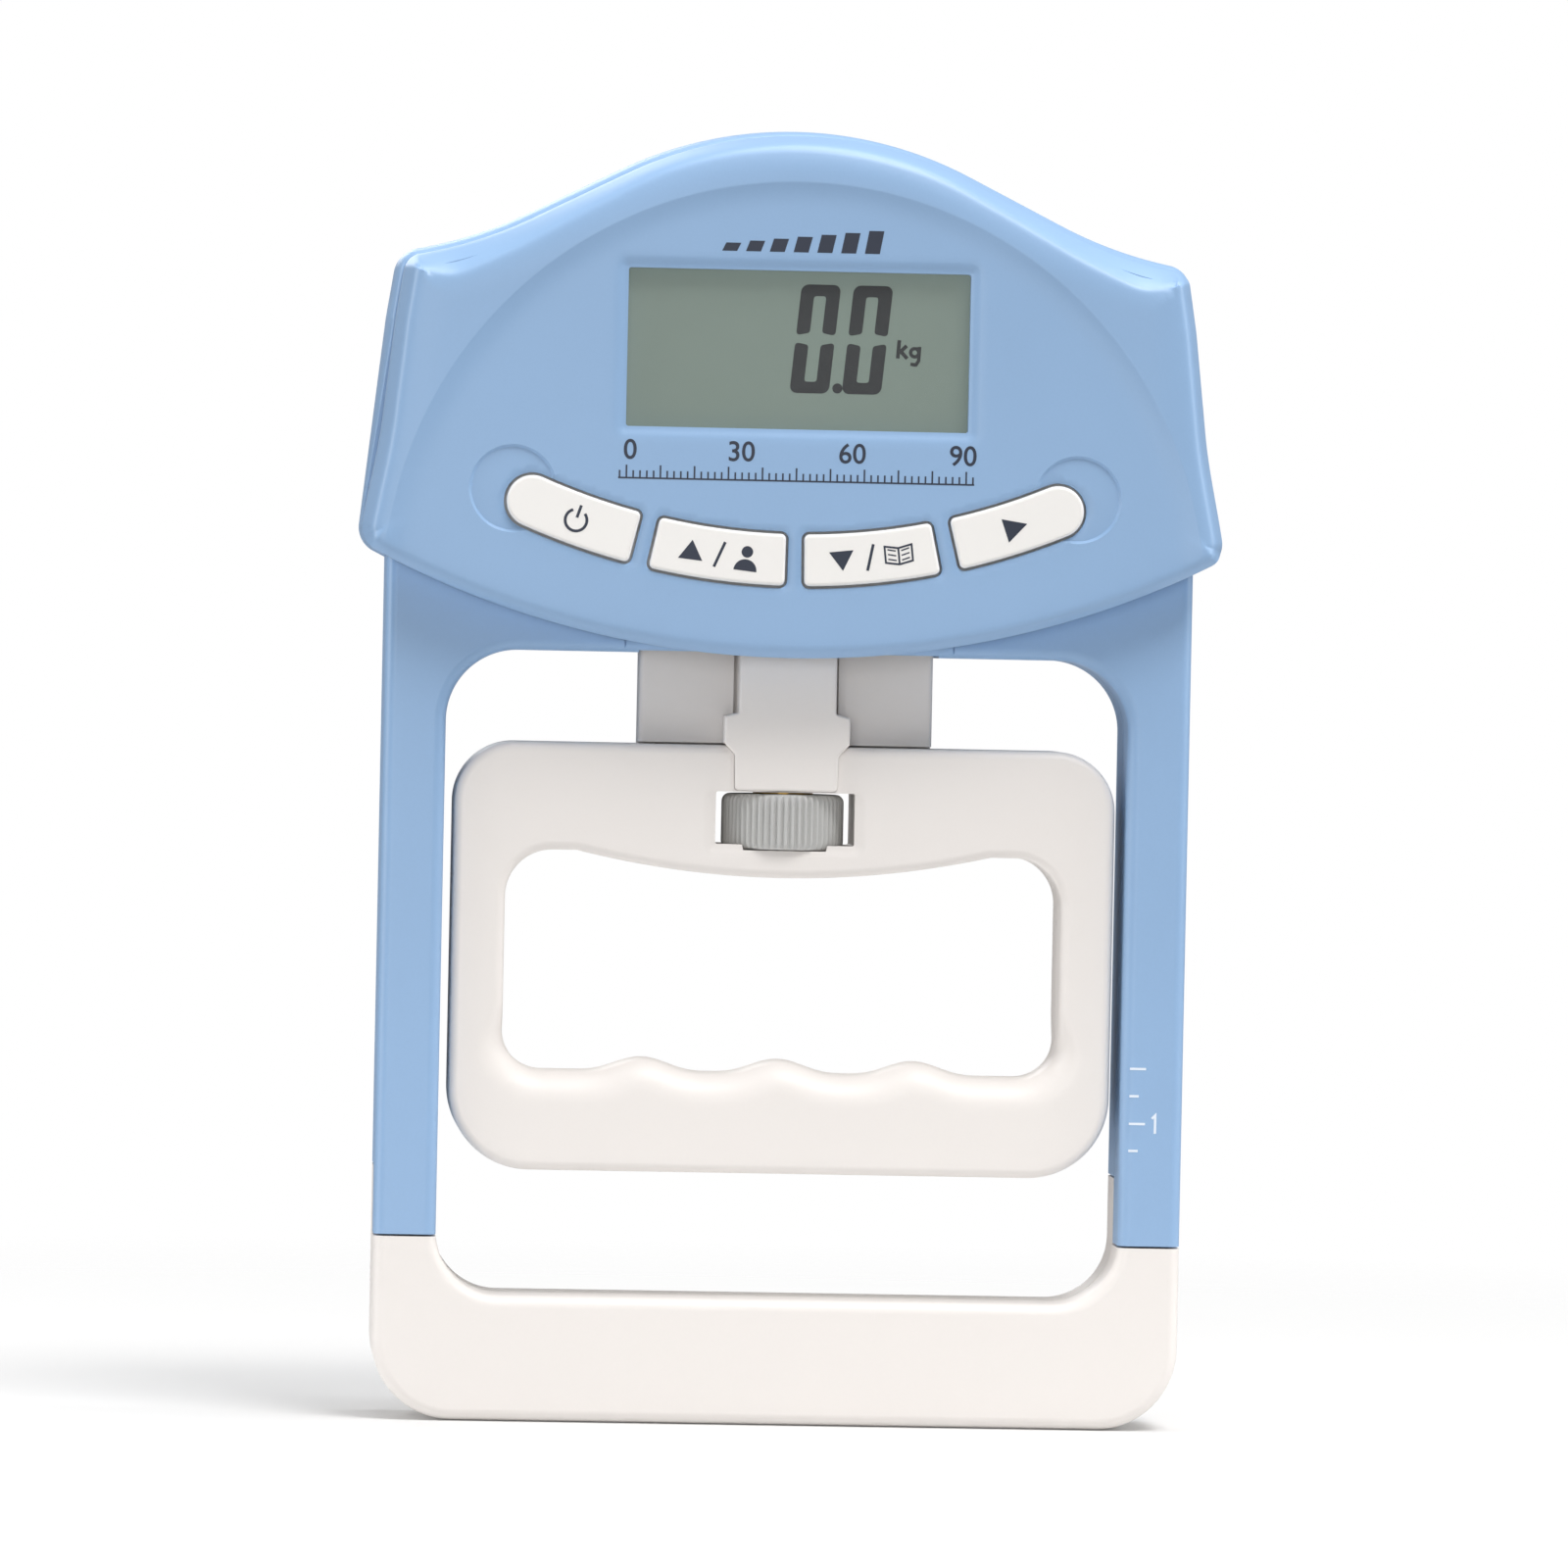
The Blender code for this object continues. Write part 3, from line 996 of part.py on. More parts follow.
def make_handle():
    front = handle_half("handle_front", HANDLE_FRONT, AXIS_Y - GAP / 2, HANDLE_EDGE, 0)
    rear = handle_half("handle_rear", HANDLE_BACK, AXIS_Y + GAP / 2, 0, HANDLE_EDGE)
    recess = inset(stem_outline(), -GAP)
    cut(front, prism("guide_stem_recess", recess, 2 * FRONT, STEM_FRONT + STEM_THICKNESS + GAP, guide=True))

    half = NECK_HALF_WIDTH
    neck = guide_box("neck", (-half, half), (NECK_FRONT, NECK_BACK), (HANDLE_TOP + GAP, NECK_TOP))
    add(neck, guide_box("neck_foot", (-half, half), (AXIS_Y + GAP / 2, NECK_BACK),
                        (HANDLE_TOP - HANDLE_EDGE - 0.001, HANDLE_TOP + 0.001)))
    groove = SLEEVE_RADIUS + 2 * SLIDE
    cut(neck, guide_box("neck_groove", (-groove, groove), (FRONT, BACK), (WINDOW_CEILING, NECK_TOP + WALL)))
    fork = CELL_HALF_WIDTH + 2 * SLIDE
    fork_bottom = CELL_BOTTOM - NUT_HEIGHT - TRAVEL_UP - GAP
    cut(neck, guide_box("neck_fork", (-fork, fork), (FRONT, BACK), (fork_bottom, NECK_TOP + WALL)))
    for side in (-1, 1):
        xs = sorted((side * (fork + WALL), side * (half - WALL)))
        cut(neck, guide_box(f"neck_pocket_{side}", xs, (NECK_FRONT + WALL, BACK),
                            (HANDLE_TOP + WALL, NECK_TOP - WALL)))
    add(rear, neck)

    shank, head, height = CASE_SCREW
    sink = HANDLE_BACK - CASE_SEAT
    for i, (x, z) in enumerate(handle_post_places(), 1):
        name = f"handle_screw_{i}"
        pilot_front = HANDLE_FRONT + HANDLE_SHELL
        plan_rod(front, "drill", x, z, shank + GAP, pilot_front, AXIS_Y + WALL)
        plan_rod(rear, "drill", x, z, shank + GAP, AXIS_Y - WALL, sink + WALL)
        plan_rod(rear, "sink", x, z, head + GAP, sink, BACK)
        screw(name, CASE_SCREW, x, z, sink + GAP + height, pilot_front + GAP)


def make_stem_cover():
    outline = stem_outline()
    inner = STEM_FRONT + STEM_THICKNESS
    stem = prism("stem_cover", outline, STEM_FRONT, inner, WHITE)
    column_back = NECK_FRONT - GAP
    foot = HANDLE_TOP + GAP
    add(stem, guide_box("column", (-STEM_HALF_WIDTH, STEM_HALF_WIDTH), (STEM_FRONT + GAP, column_back),
                        (foot, CELL_BOTTOM - TRAVEL_UP - SLIDE)))
    add(stem, guide_box("shoulders", (-SHOULDER_HALF_WIDTH, SHOULDER_HALF_WIDTH), (STEM_FRONT + GAP, column_back),
                        (foot, HANDLE_TOP + SHOULDER_HEIGHT)))
    hollow = STEM_HALF_WIDTH - STEM_WALL
    cut(stem, guide_box("column_hollow", (-hollow, hollow), (inner, BACK), (HANDLE_TOP - WALL, STEM_TOP + WALL)))


def make_wheel():
    bottom = WINDOW_SILL - CRESCENT + GAP
    top = WINDOW_CEILING - GAP
    chamfer = 0.0004
    flutes = 2 * WHEEL_FLUTES
    rings = []
    for drop, height in ((chamfer, bottom), (0, bottom + chamfer), (0, top - chamfer), (chamfer, top)):
        ring = []
        for k in range(flutes):
            radius = WHEEL_RADIUS - drop - (FLUTE_DEPTH if k % 2 else 0)
            angle = 2 * math.pi * k / flutes
            ring.append((radius * math.cos(angle), AXIS_Y + radius * math.sin(angle), height))
        rings.append(ring)
    wheel = loft("adjusting_wheel", rings, GREY, smooth=False)
    bore = SLEEVE_RADIUS + GAP
    cut(wheel, turned("guide_wheel_bore", [(bore, bottom - WALL), (bore, top + WALL)], (0, AXIS_Y, 0),
                      "Z", 24, guide=True))
    set_origin(wheel, (0, AXIS_Y, (bottom + top) / 2))
    wall = [(SLEEVE_RADIUS, bottom + GAP), (SLEEVE_RADIUS, SLEEVE_TOP), (ROD_RADIUS + GAP, SLEEVE_TOP),
            (ROD_RADIUS + GAP, bottom + GAP)]
    sleeve = turned("threaded_sleeve", wall, (0, AXIS_Y, 0), "Z", 20, BRASS, tube=True)
    set_origin(sleeve, (0, AXIS_Y, (bottom + top) / 2))


# ================================================================ the whole object
def main():
    cover = make_head_cover()
    frame_front = make_frame_front()
    frame_rear = make_frame_rear()
    base_front = make_base_front()
    base_rear = make_base_rear()
    join_shells(cover, frame_front, frame_rear, base_front, base_rear)
    make_display()
    make_board(cover)
    make_keys(cover)
    make_load_cell(frame_rear)
    make_batteries(frame_rear)
    make_handle()
    make_stem_cover()
    make_wheel()
    make_rods()


main()
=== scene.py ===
# %% [markdown]
# # Electronic hand dynamometer: the looks
# The working model, with its joints, is already packed. This notebook gives it its visible surface.
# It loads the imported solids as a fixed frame, builds a fine shell over each outer part, gives every piece
# a material made of nodes, and lights it softly. Lengths are in metres: X right, Y away, Z up.

# %% Load the frame
import math

import bmesh
import bpy
import numpy as np
from mathutils import Matrix, Vector
from mathutils.geometry import delaunay_2d_cdt
from mathutils.kdtree import KDTree


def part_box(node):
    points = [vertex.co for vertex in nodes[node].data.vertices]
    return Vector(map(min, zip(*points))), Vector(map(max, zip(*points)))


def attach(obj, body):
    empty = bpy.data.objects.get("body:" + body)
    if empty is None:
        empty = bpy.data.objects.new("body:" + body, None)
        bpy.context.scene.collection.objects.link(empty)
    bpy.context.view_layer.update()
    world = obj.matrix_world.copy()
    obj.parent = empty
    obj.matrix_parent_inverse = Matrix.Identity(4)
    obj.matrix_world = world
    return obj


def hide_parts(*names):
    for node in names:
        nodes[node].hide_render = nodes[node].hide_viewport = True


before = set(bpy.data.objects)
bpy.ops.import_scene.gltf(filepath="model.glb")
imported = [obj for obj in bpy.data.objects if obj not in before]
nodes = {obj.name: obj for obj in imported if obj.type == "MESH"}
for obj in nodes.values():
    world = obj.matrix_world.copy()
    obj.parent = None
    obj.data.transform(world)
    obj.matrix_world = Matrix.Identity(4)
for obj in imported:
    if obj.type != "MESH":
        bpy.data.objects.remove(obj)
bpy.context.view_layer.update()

# %% [markdown]
# ## Places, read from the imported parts
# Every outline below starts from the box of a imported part, so a fine shell lands where the working solid is.
# The few numbers that a box can't tell, such as how a corner is rounded, are named here.

# %% Main places
head_low, head_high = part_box("head_cover")
leg_low, leg_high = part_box("frame_front")
base_low, base_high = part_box("base_front")
rear_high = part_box("frame_rear")[1]
handle_low, handle_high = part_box("handle_front")
stem_low, stem_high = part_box("stem_cover")
wheel_low, wheel_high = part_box("adjusting_wheel")
NUT_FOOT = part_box("rod_locknut")[0].z
CELL_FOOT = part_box("load_cell")[0].z
SLEEVE_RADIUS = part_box("threaded_sleeve")[1].x

GAP = 0.0003  # room between two pieces
WALL = 0.0020
WIDE = 0.1  # a cutting tool reaches this far to each side, past the object
OUT = 0.05  # and this far to the front or the back
FRONT = head_low.y
BACK = rear_high.y
HEAD_HALF = 0.0633
LEG_HALF = leg_high.x
LEG_WIDTH = 0.0092
LEG_FRONT = leg_low.y
OPENING_HALF = LEG_HALF - LEG_WIDTH
HEAD_FOOT = head_low.z
CROSS = HEAD_FOOT + 0.0004
CROSS_TOP = leg_high.z
BASE_TOP = 0.0185
SPLIT_FRONT = 0.0272
SPLIT_BACK = base_high.z
AXIS_Y = (wheel_low.y + wheel_high.y) / 2
NECK_HALF = 0.0218
NECK_FRONT = 0.0010
NECK_BACK = 0.0090
NECK_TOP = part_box("handle_rear")[1].z
print("head", head_low, head_high, "wheel axis", AXIS_Y)

# %% [markdown]
# ## Camera
# A long lens, a little to the left and almost level, turns perspective down to a hint. The camera is also
# rolled a little, so that the object leans to the right. Aiming an empty and adding a Track To constraint
# would do too, but the three directions of the camera, worked out here, leave nothing to evaluate later.

# %% Camera
DISTANCE = 1.5
FIELD = 0.2315  # width of the picture at the object
AZIMUTH = math.radians(-3.5)
ELEVATION = math.radians(0.8)
ROLL = math.radians(1.17)
AIM = Vector((-0.00045, LEG_FRONT, 0.0948))

back = Vector((math.sin(AZIMUTH) * math.cos(ELEVATION), -math.cos(AZIMUTH) * math.cos(ELEVATION),
               math.sin(ELEVATION)))
right = Vector((0, 0, 1)).cross(back).normalized()
up = back.cross(right)
across = right * math.cos(ROLL) + up * math.sin(ROLL)
upwards = up * math.cos(ROLL) - right * math.sin(ROLL)

lens = bpy.data.cameras.new("camera")
lens.sensor_width = 36
lens.lens = lens.sensor_width * DISTANCE / FIELD
lens.clip_start = 0.1
lens.clip_end = 50
camera = bpy.data.objects.new("camera", lens)
facing = Matrix((across, upwards, back)).transposed().to_4x4()
camera.matrix_world = Matrix.Translation(AIM + back * DISTANCE) @ facing
bpy.context.scene.collection.objects.link(camera)
bpy.context.scene.camera = camera
bpy.context.scene.view_settings.view_transform = "Standard"
print("focal length", round(lens.lens, 1), "mm")

# %% [markdown]
# ## Shader maths as plain Python
# A material is a small program. Writing it as nodes one by one hides what it says, so one class wraps a
# socket: adding, multiplying or comparing it makes the Math node. `node` makes any other node.

# %% A socket that does arithmetic
class Value:
    """A socket of a material. Python's operators on it add Math nodes."""

    def __init__(self, tree, socket=None):
        self.tree = tree
        self.socket = socket

    def node(self, kind, settings=None, sockets=None, output=0):
        """Any node: its type, its settings first, then the numbers or links of its sockets."""
        made = self.tree.nodes.new("ShaderNode" + kind)
        for key, value in (settings or {}).items():
            setattr(made, key, value)
        for key, value in (sockets or {}).items():
            self.plug(made.inputs[key], value)
        return Value(self.tree, made.outputs[output])

    def plug(self, socket, value):
        if isinstance(value, Value):
            self.tree.links.new(value.socket, socket)
        else:
            socket.default_value = value

    def maths(self, operation, first, second=0.0, clamp=False):
        return self.node("Math", {"operation": operation, "use_clamp": clamp}, {0: first, 1: second})

    def __add__(self, other):
        return self.maths("ADD", self, other)

    __radd__ = __add__

    def __mul__(self, other):
        return self.maths("MULTIPLY", self, other)

    def __sub__(self, other):
        return self.maths("SUBTRACT", self, other)

    def __rsub__(self, other):
        return self.maths("SUBTRACT", other, self)

    def __gt__(self, other):
        return self.maths("GREATER_THAN", self, other)

    def __lt__(self, other):
        return self.maths("LESS_THAN", self, other)

    def within(self, low, high):
        """0 below low, 1 above high, and a straight line between."""
        share = (self - low) * (1 / (high - low))
        return self.maths("ADD", share, 0.0, clamp=True)

    def tint(self, first, second):
        """Colour that goes from the first to the second as this value goes from 0 to 1."""
        settings = {"data_type": "RGBA", "clamp_factor": True}
        return self.node("Mix", settings, {0: self, 6: first, 7: second}, output=2)

    def noise(self, place, scale, detail=2.0):
        return self.node("TexNoise", None, {"Vector": place, "Scale": scale, "Detail": detail})


def swatch(red, green, blue):
    """Linear colour of a screen colour given as three numbers up to 255."""
    parts = [channel / 255 for channel in (red, green, blue)]
    return (*(p / 12.92 if p <= 0.04045 else ((p + 0.055) / 1.055) ** 2.4 for p in parts), 1.0)


def shade(colour, amount):
    """The colour made darker or lighter by a factor."""
    return (*(min(1.0, channel * amount) for channel in colour[:3]), 1.0)


GRAIN_DEPTH = 0.00002  # how deep the finest relief of a surface is


def start(name, roughness, metallic=0.0, **constants):
    """An empty material: its Principled shader, and a Value to build with."""
    made = bpy.data.materials.new(name)
    made.use_nodes = True
    tree = made.node_tree
    shader = tree.nodes["Principled BSDF"]
    shader.inputs["Roughness"].default_value = roughness
    shader.inputs["Metallic"].default_value = metallic
    for key, value in constants.items():
        shader.inputs[key.replace("_", " ")].default_value = value
    here = Value(tree)
    place = here.node("TexCoord", output=3)
    return made, shader, here, place


def finish(shader, here, colour=None, roughness=None, height=None, strength=0.3, alpha=None):
    """Plugs what varies over the surface into the shader."""
    if colour is not None:
        here.plug(shader.inputs["Base Color"], colour)
    if roughness is not None:
        here.plug(shader.inputs["Roughness"], roughness)
    if alpha is not None:
        here.plug(shader.inputs["Alpha"], alpha)
    if height is not None:
        bump = here.node("Bump", None, {"Strength": strength, "Distance": GRAIN_DEPTH, "Height": height})
        here.plug(shader.inputs["Normal"], bump)


# %% [markdown]
# ## Moulded plastics
# The casings are injection-moulded ABS. A mould is spark-eroded or blasted, which leaves a fine grain that
# breaks up the gloss. An image could give that, but noise at the right scale does it at any distance.
# A second, slow noise lets tone and gloss drift a little over a large face, as they do where the melt cools.

# %% Plastic
def plastic(name, colour, roughness=0.42, grain=0.25, drift=0.03, **constants):
    made, shader, here, place = start(name, roughness, **constants)
    slow = here.noise(place, 22, 3)
    fine = here.noise(place, 2600, 2)
    speck = here.noise(place, 700, 1)
    tone = slow.within(0.3, 0.7) * 0.7 + fine.within(0.3, 0.7) * 0.3
    finish(shader, here, tone.tint(shade(colour, 1 - drift), shade(colour, 1 + drift)),
           slow * 0.08 + fine * 0.06 + (roughness - 0.07), fine + speck * 0.6, strength=grain)
    return made


BLUE = plastic("moulded_blue", swatch(143, 176, 213), 0.40, 0.22)
WHITE = plastic("moulded_white", swatch(232, 227, 223), 0.45, 0.25, 0.012)
KEY_WHITE = plastic("moulded_key", swatch(240, 238, 235), 0.34, 0.15, 0.01)
GREY = plastic("moulded_grey", swatch(190, 190, 188), 0.48, 0.30, 0.05)
BLACK = plastic("moulded_black", swatch(28, 28, 30), 0.50, 0.35, 0.08)
RUBBER = plastic("pressed_elastomer", swatch(70, 62, 60), 0.72, 0.40, 0.08)
SILICONE = plastic("cured_silicone", swatch(232, 232, 226), 0.55, 0.10, 0.02)
INK = plastic("printed_ink", swatch(36, 44, 62), 0.38, 0.08, 0.04)
PALE_INK = plastic("printed_pale_ink", swatch(226, 234, 244), 0.40, 0.08, 0.02)
print("plastics:", BLUE.name, WHITE.name, KEY_WHITE.name)

# %% [markdown]
# ## Metals
# Inside are a milled aluminium load cell, plated screws and springs, and a brass sleeve. Each gets a
# brushed or turned grain from noise that is stretched along one direction.

# %% Metal
def metal(name, colour, roughness, stretch, grain=0.25):
    made, shader, here, place = start(name, roughness, 1.0)
    lines = here.node("Mapping", None, {"Vector": place, "Scale": stretch})
    brushed = here.noise(lines, 900, 3)
    stain = here.noise(place, 90, 3)
    finish(shader, here, stain.within(0.35, 0.65).tint(shade(colour, 0.90), shade(colour, 1.05)),
           stain * 0.12 + brushed * 0.10 + (roughness - 0.10), brushed, strength=grain)
    return made


STEEL = metal("plated_steel", swatch(205, 205, 202), 0.30, (1, 1, 1))
SCREW = metal("zinc_screw", swatch(214, 214, 210), 0.26, (1, 6, 1))
ALUMINIUM = metal("milled_aluminium", swatch(222, 223, 225), 0.36, (0.15, 1, 3))
BRASS = metal("turned_brass", swatch(216, 176, 104), 0.30, (0.3, 0.3, 5))

# %% [markdown]
# ## Display, board and batteries
# The display glass is a grey-green polariser over a reflector: a soft, matt grey with the faintest mottle,
# painted a shade lighter towards the top as painted light.
# The reflector sends back light from all sides, which a faint glow stands for, so that the window is evenly
# lit. The lens in front of it is clear, so it is nearly all alpha. The board has copper tracks under green
# resist, as short lanes whose phase changes from cell to cell, and the batteries carry a two-colour sleeve.

# %% Display and electronics
LCD_HALF = 0.0252
LCD_LOW = CROSS + 0.0332
LCD_HIGH = LCD_LOW + 0.0233


def make_lcd():
    made, shader, here, place = start("lcd_polariser", 0.5, Specular_IOR_Level=0.2,
                                     Emission_Color=swatch(131, 146, 137), Emission_Strength=0.45)
    mottle = here.noise(place, 160, 3)
    fine = here.noise(place, 1500, 1)
    # Painted light: the glass is painted a shade lighter towards the top of the window, and its glow is
    # painted light for what the reflector sends back.
    height = here.node("SeparateXYZ", None, {"Vector": place}, output=2)
    painted_top_light = height.within(LCD_LOW, LCD_HIGH)
    tone = mottle.within(0.3, 0.7) * 0.35 + painted_top_light * 0.5 + fine.within(0.3, 0.7) * 0.15
    finish(shader, here, tone.tint(swatch(84, 95, 89), swatch(89, 100, 94)), 0.46 + fine * 0.08)
    return made


def make_clear():
    made, shader, here, place = start("clear_acrylic", 0.06, Specular_IOR_Level=0.35)
    haze = here.noise(place, 60, 2)
    finish(shader, here, haze.tint(swatch(236, 242, 240), swatch(248, 250, 250)), 0.04 + haze * 0.05,
           alpha=0.015 + haze * 0.01)
    return made


def make_board():
    made, shader, here, place = start("green_circuit_board", 0.38)
    axes = [here.node("SeparateXYZ", None, {"Vector": place}, output=i) for i in range(3)]
    weave = here.noise(place, 1800, 1)
    steps = here.node("TexVoronoi", {"distance": "MANHATTAN"}, {"Vector": place, "Scale": 180.0}, output=2)
    cell = here.node("SeparateXYZ", None, {"Vector": steps}, output=0)
    lanes = here.maths("FRACT", (axes[0] + cell * 0.004) * 700)
    track = (lanes < 0.45) * (cell > 0.004)
    colour = track.tint(swatch(20, 92, 48), swatch(48, 132, 66))
    finish(shader, here, colour, 0.32 + weave * 0.12, track * 0.8 + weave * 0.4, strength=0.35)
    return made


def make_sleeve():
    made, shader, here, place = start("battery_sleeve", 0.30)
    along = here.node("SeparateXYZ", None, {"Vector": place}, output=0)
    scuff = here.noise(place, 400, 3)
    band = (along > 0.009) + (along < -0.0205)
    colour = band.within(0, 1).tint(swatch(46, 96, 62), swatch(190, 190, 186))
    finish(shader, here, colour, 0.24 + scuff * 0.16, scuff, strength=0.10)
    return made


def make_digit():
    made, shader, here, place = start("lcd_segment", 0.45)
    fine = here.noise(place, 1500, 2)
    finish(shader, here, fine.tint(swatch(14, 17, 22), swatch(20, 24, 30)), 0.55 + fine * 0.08)
    return made


LCD = make_lcd()
CLEAR = make_clear()
BOARD = make_board()
SLEEVE = make_sleeve()
DIGIT = make_digit()
RED_WIRE = plastic("red_insulation", swatch(190, 40, 36), 0.42, 0.1, 0.05)
BLACK_WIRE = plastic("black_insulation", swatch(34, 34, 36), 0.42, 0.1, 0.05)
GREY_WIRE = plastic("grey_insulation", swatch(150, 150, 152), 0.48, 0.1, 0.05)
print(len(bpy.data.materials), "materials")

# %% [markdown]
# ## Outlines
# Nearly every part is an outline in the front view, given a depth. An outline is a few corners, each with
# its own radius, turned into a fine polygon. `inset` moves it inwards by a distance that may vary.

# %% Outline helpers
def rounded(corners, error=0.000004):
    """Closed outline through (x, z, radius) corners, anticlockwise. A radius of 0 keeps a corner sharp."""
    points = []
    for i, (x, z, radius) in enumerate(corners):
        here = Vector((x, z))
        if radius == 0:
            points.append(here)
            continue
        before = (Vector(corners[i - 1][:2]) - here).normalized()
        after = (Vector(corners[(i + 1) % len(corners)][:2]) - here).normalized()
        half = before.angle(after) / 2
        centre = here + (before + after).normalized() * (radius / math.sin(half))
        arm = here + before * (radius / math.tan(half)) - centre
        sweep = math.pi - 2 * half
        turn = sweep if after.x * before.y - after.y * before.x > 0 else -sweep
        flats = max(3, math.ceil(sweep / (2 * math.acos(1 - error / radius))))
        points += [centre + Matrix.Rotation(turn * k / flats, 2) @ arm for k in range(flats + 1)]
    return points


def divided(points, spacing):
    """The outline with extra points, so that no side is longer than the spacing."""
    made = []
    for here, after in zip(points, points[1:] + points[:1]):
        parts = max(1, math.ceil((after - here).length / spacing))
        made += [here.lerp(after, k / parts) for k in range(parts)]
    return made


def inset(points, distance):
    """The outline moved inwards. The distance is a number, or a list with one for each point."""
    moved = []
    for i, here in enumerate(points):
        before = (here - points[i - 1]).normalized()
        after = (points[(i + 1) % len(points)] - here).normalized()
        normal = Vector((-before.y, before.x)) + Vector((-after.y, after.x))
        reach = distance if isinstance(distance, (int, float)) else distance[i]
        moved.append(here + normal * (reach / (1 + before.dot(after))))
    return moved


def mirrored(points):
    return [Vector((-p.x, p.y)) for p in reversed(points)]


def block(left, right, low, high, radius=0.0):
    return rounded([(right, low, radius), (right, high, radius), (left, high, radius), (left, low, radius)])


def disc(x, z, radius, flats=48):
    turn = 2 * math.pi / flats
    return [Vector((x + radius * math.cos(k * turn), z + radius * math.sin(k * turn))) for k in range(flats)]


# %% [markdown]
# ## Solids
# `loft` skins rings of points. `pillow` lofts one outline through (inset, depth) pairs, which is how a
# moulded edge is rounded. Holes and slots are Boolean cuts, applied at once, and a Weighted Normal
# modifier then keeps the flat faces flat in the shading while the rounded edges stay smooth.

# %% Solid helpers
SHARP = math.radians(38)  # a fold sharper than this is shaded as an edge


def add_mesh(name, points, faces, paint):
    """A closed mesh with outward faces, smooth but for its sharp edges."""
    mesh = bpy.data.meshes.new(name)
    mesh.from_pydata([tuple(p) for p in points], [], faces)
    build = bmesh.new()
    build.from_mesh(mesh)
    bmesh.ops.recalc_face_normals(build, faces=build.faces)
    build.to_mesh(mesh)
    build.free()
    mesh.materials.append(paint)
    made = bpy.data.objects.new(name, mesh)
    bpy.context.scene.collection.objects.link(made)
    return made


def loft(name, rings, paint, closed=False):
    count = len(rings[0])
    points = [point for ring in rings for point in ring]
    faces = []
    pairs = list(zip(range(len(rings)), range(1, len(rings))))
    if closed:
        pairs.append((len(rings) - 1, 0))
    else:
        faces += [list(range(count)), list(range((len(rings) - 1) * count, len(rings) * count))]
    for near, far in pairs:
        for i in range(count):
            h = (i - 1) % count
            faces.append((near * count + h, near * count + i, far * count + i, far * count + h))
    return add_mesh(name, points, faces, paint)


def pillow(name, outline, profile, paint):
    rings = []
    for distance, depth in profile:
        ring = inset(outline, distance)
        rings.append([(p.x, depth, p.y) for p in ring])
    return loft(name, rings, paint)


def prism(name, outline, front, back, paint=WHITE):
    return pillow(name, outline, [(0, front), (0, back)], paint)


def quarter_turns(flats):
    return [math.pi / 2 * k / flats for k in range(flats + 1)]


def edges(front, back, front_round=0.0, back_round=0.0, flats=7):
    """Profile between two depths, with quarter rounds."""
    pairs = []
    turns = quarter_turns(flats)
    if front_round:
        pairs += [(front_round * (1 - math.sin(t)), front + front_round * (1 - math.cos(t))) for t in turns]
    else:
        pairs.append((0, front))
    if back_round:
        pairs += [(back_round * (1 - math.cos(t)), back - back_round * (1 - math.sin(t))) for t in turns]
    else:
        pairs.append((0, back))
    return pairs


def box(xs, ys, zs):
    """A block to cut or add with, between two values on each axis."""
    return prism("tool", block(*xs, *zs), *ys)


def flank(side, near, far):
    """The x values of a block on one side, side being -1 or 1, near and far from the middle."""
    return sorted((side * near, side * far))


def turned(name, profile, centre, axis, flats, paint=WHITE):
    """Solid of revolution about an axis through the centre; the profile is (radius, height) pairs."""
    rings = []
    for radius, height in profile:
        ring = []
        for k in range(flats):
            turn = 2 * math.pi * (k + 0.37) / flats
            a, b = radius * math.cos(turn), radius * math.sin(turn)
            local = {"Y": (a, height, b), "Z": (a, b, height)}
            ring.append(Vector(centre) + Vector(local[axis]))
        rings.append(ring)
    return loft(name, rings, paint)


def rod(x, z, radius, front, back, flats=32):
    return turned("tool", [(radius, front), (radius, back)], (x, 0, z), "Y", flats)


def joined(tools):
    """Several closed tools that don't touch, as one."""
    build = bmesh.new()
    for tool in tools:
        build.from_mesh(tool.data)
        bpy.data.objects.remove(tool, do_unlink=True)
    mesh = bpy.data.meshes.new("tools")
    build.to_mesh(mesh)
    build.free()
    made = bpy.data.objects.new("tools", mesh)
    bpy.context.scene.collection.objects.link(made)
    return made


def carve(target, operation, *tools):
    """Applies one Boolean with all the tools, which must not touch one another, and removes them."""
    tool = joined(tools) if len(tools) > 1 else tools[0]
    step = target.modifiers.new("carve", "BOOLEAN")
    step.operation = operation
    step.solver = "EXACT"
    step.object = tool
    bpy.context.view_layer.update()
    shape = target.evaluated_get(bpy.context.evaluated_depsgraph_get())
    mesh = bpy.data.meshes.new_from_object(shape)
    target.modifiers.clear()
    target.data = mesh
    bpy.data.objects.remove(tool, do_unlink=True)


def cut(target, *tools):
    carve(target, "DIFFERENCE", *tools)


def add(target, *tools):
    carve(target, "UNION", *tools)


def place(piece, body, slot, *replaced, weighted=True):
    """Shades a piece, and ties it to its body and the nodes that it stands for. The slot is not used."""
    mesh = piece.data
    mesh.shade_smooth()
    mesh.set_sharp_from_angle(angle=SHARP)
    if weighted:
        flat = piece.modifiers.new("flat_faces", "WEIGHTED_NORMAL")
        flat.keep_sharp = True
    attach(piece, body)
    if replaced:
        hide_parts(*replaced)
    print(piece.name, len(mesh.polygons), "faces on", body)
    return piece


# %% [markdown]
# ## A skin with relief
# The head's face and the handle's face aren't flat: they have a brow, a dished window and soft grips. Such
# a face could be sculpted, or subdivided from a cage, but both lose the exact outline. Here a fine
# triangulation fills the outline around its holes, and a function of the place gives each point its depth.
# Extra rings of points run along the edges, so that a crease is followed and not crossed.

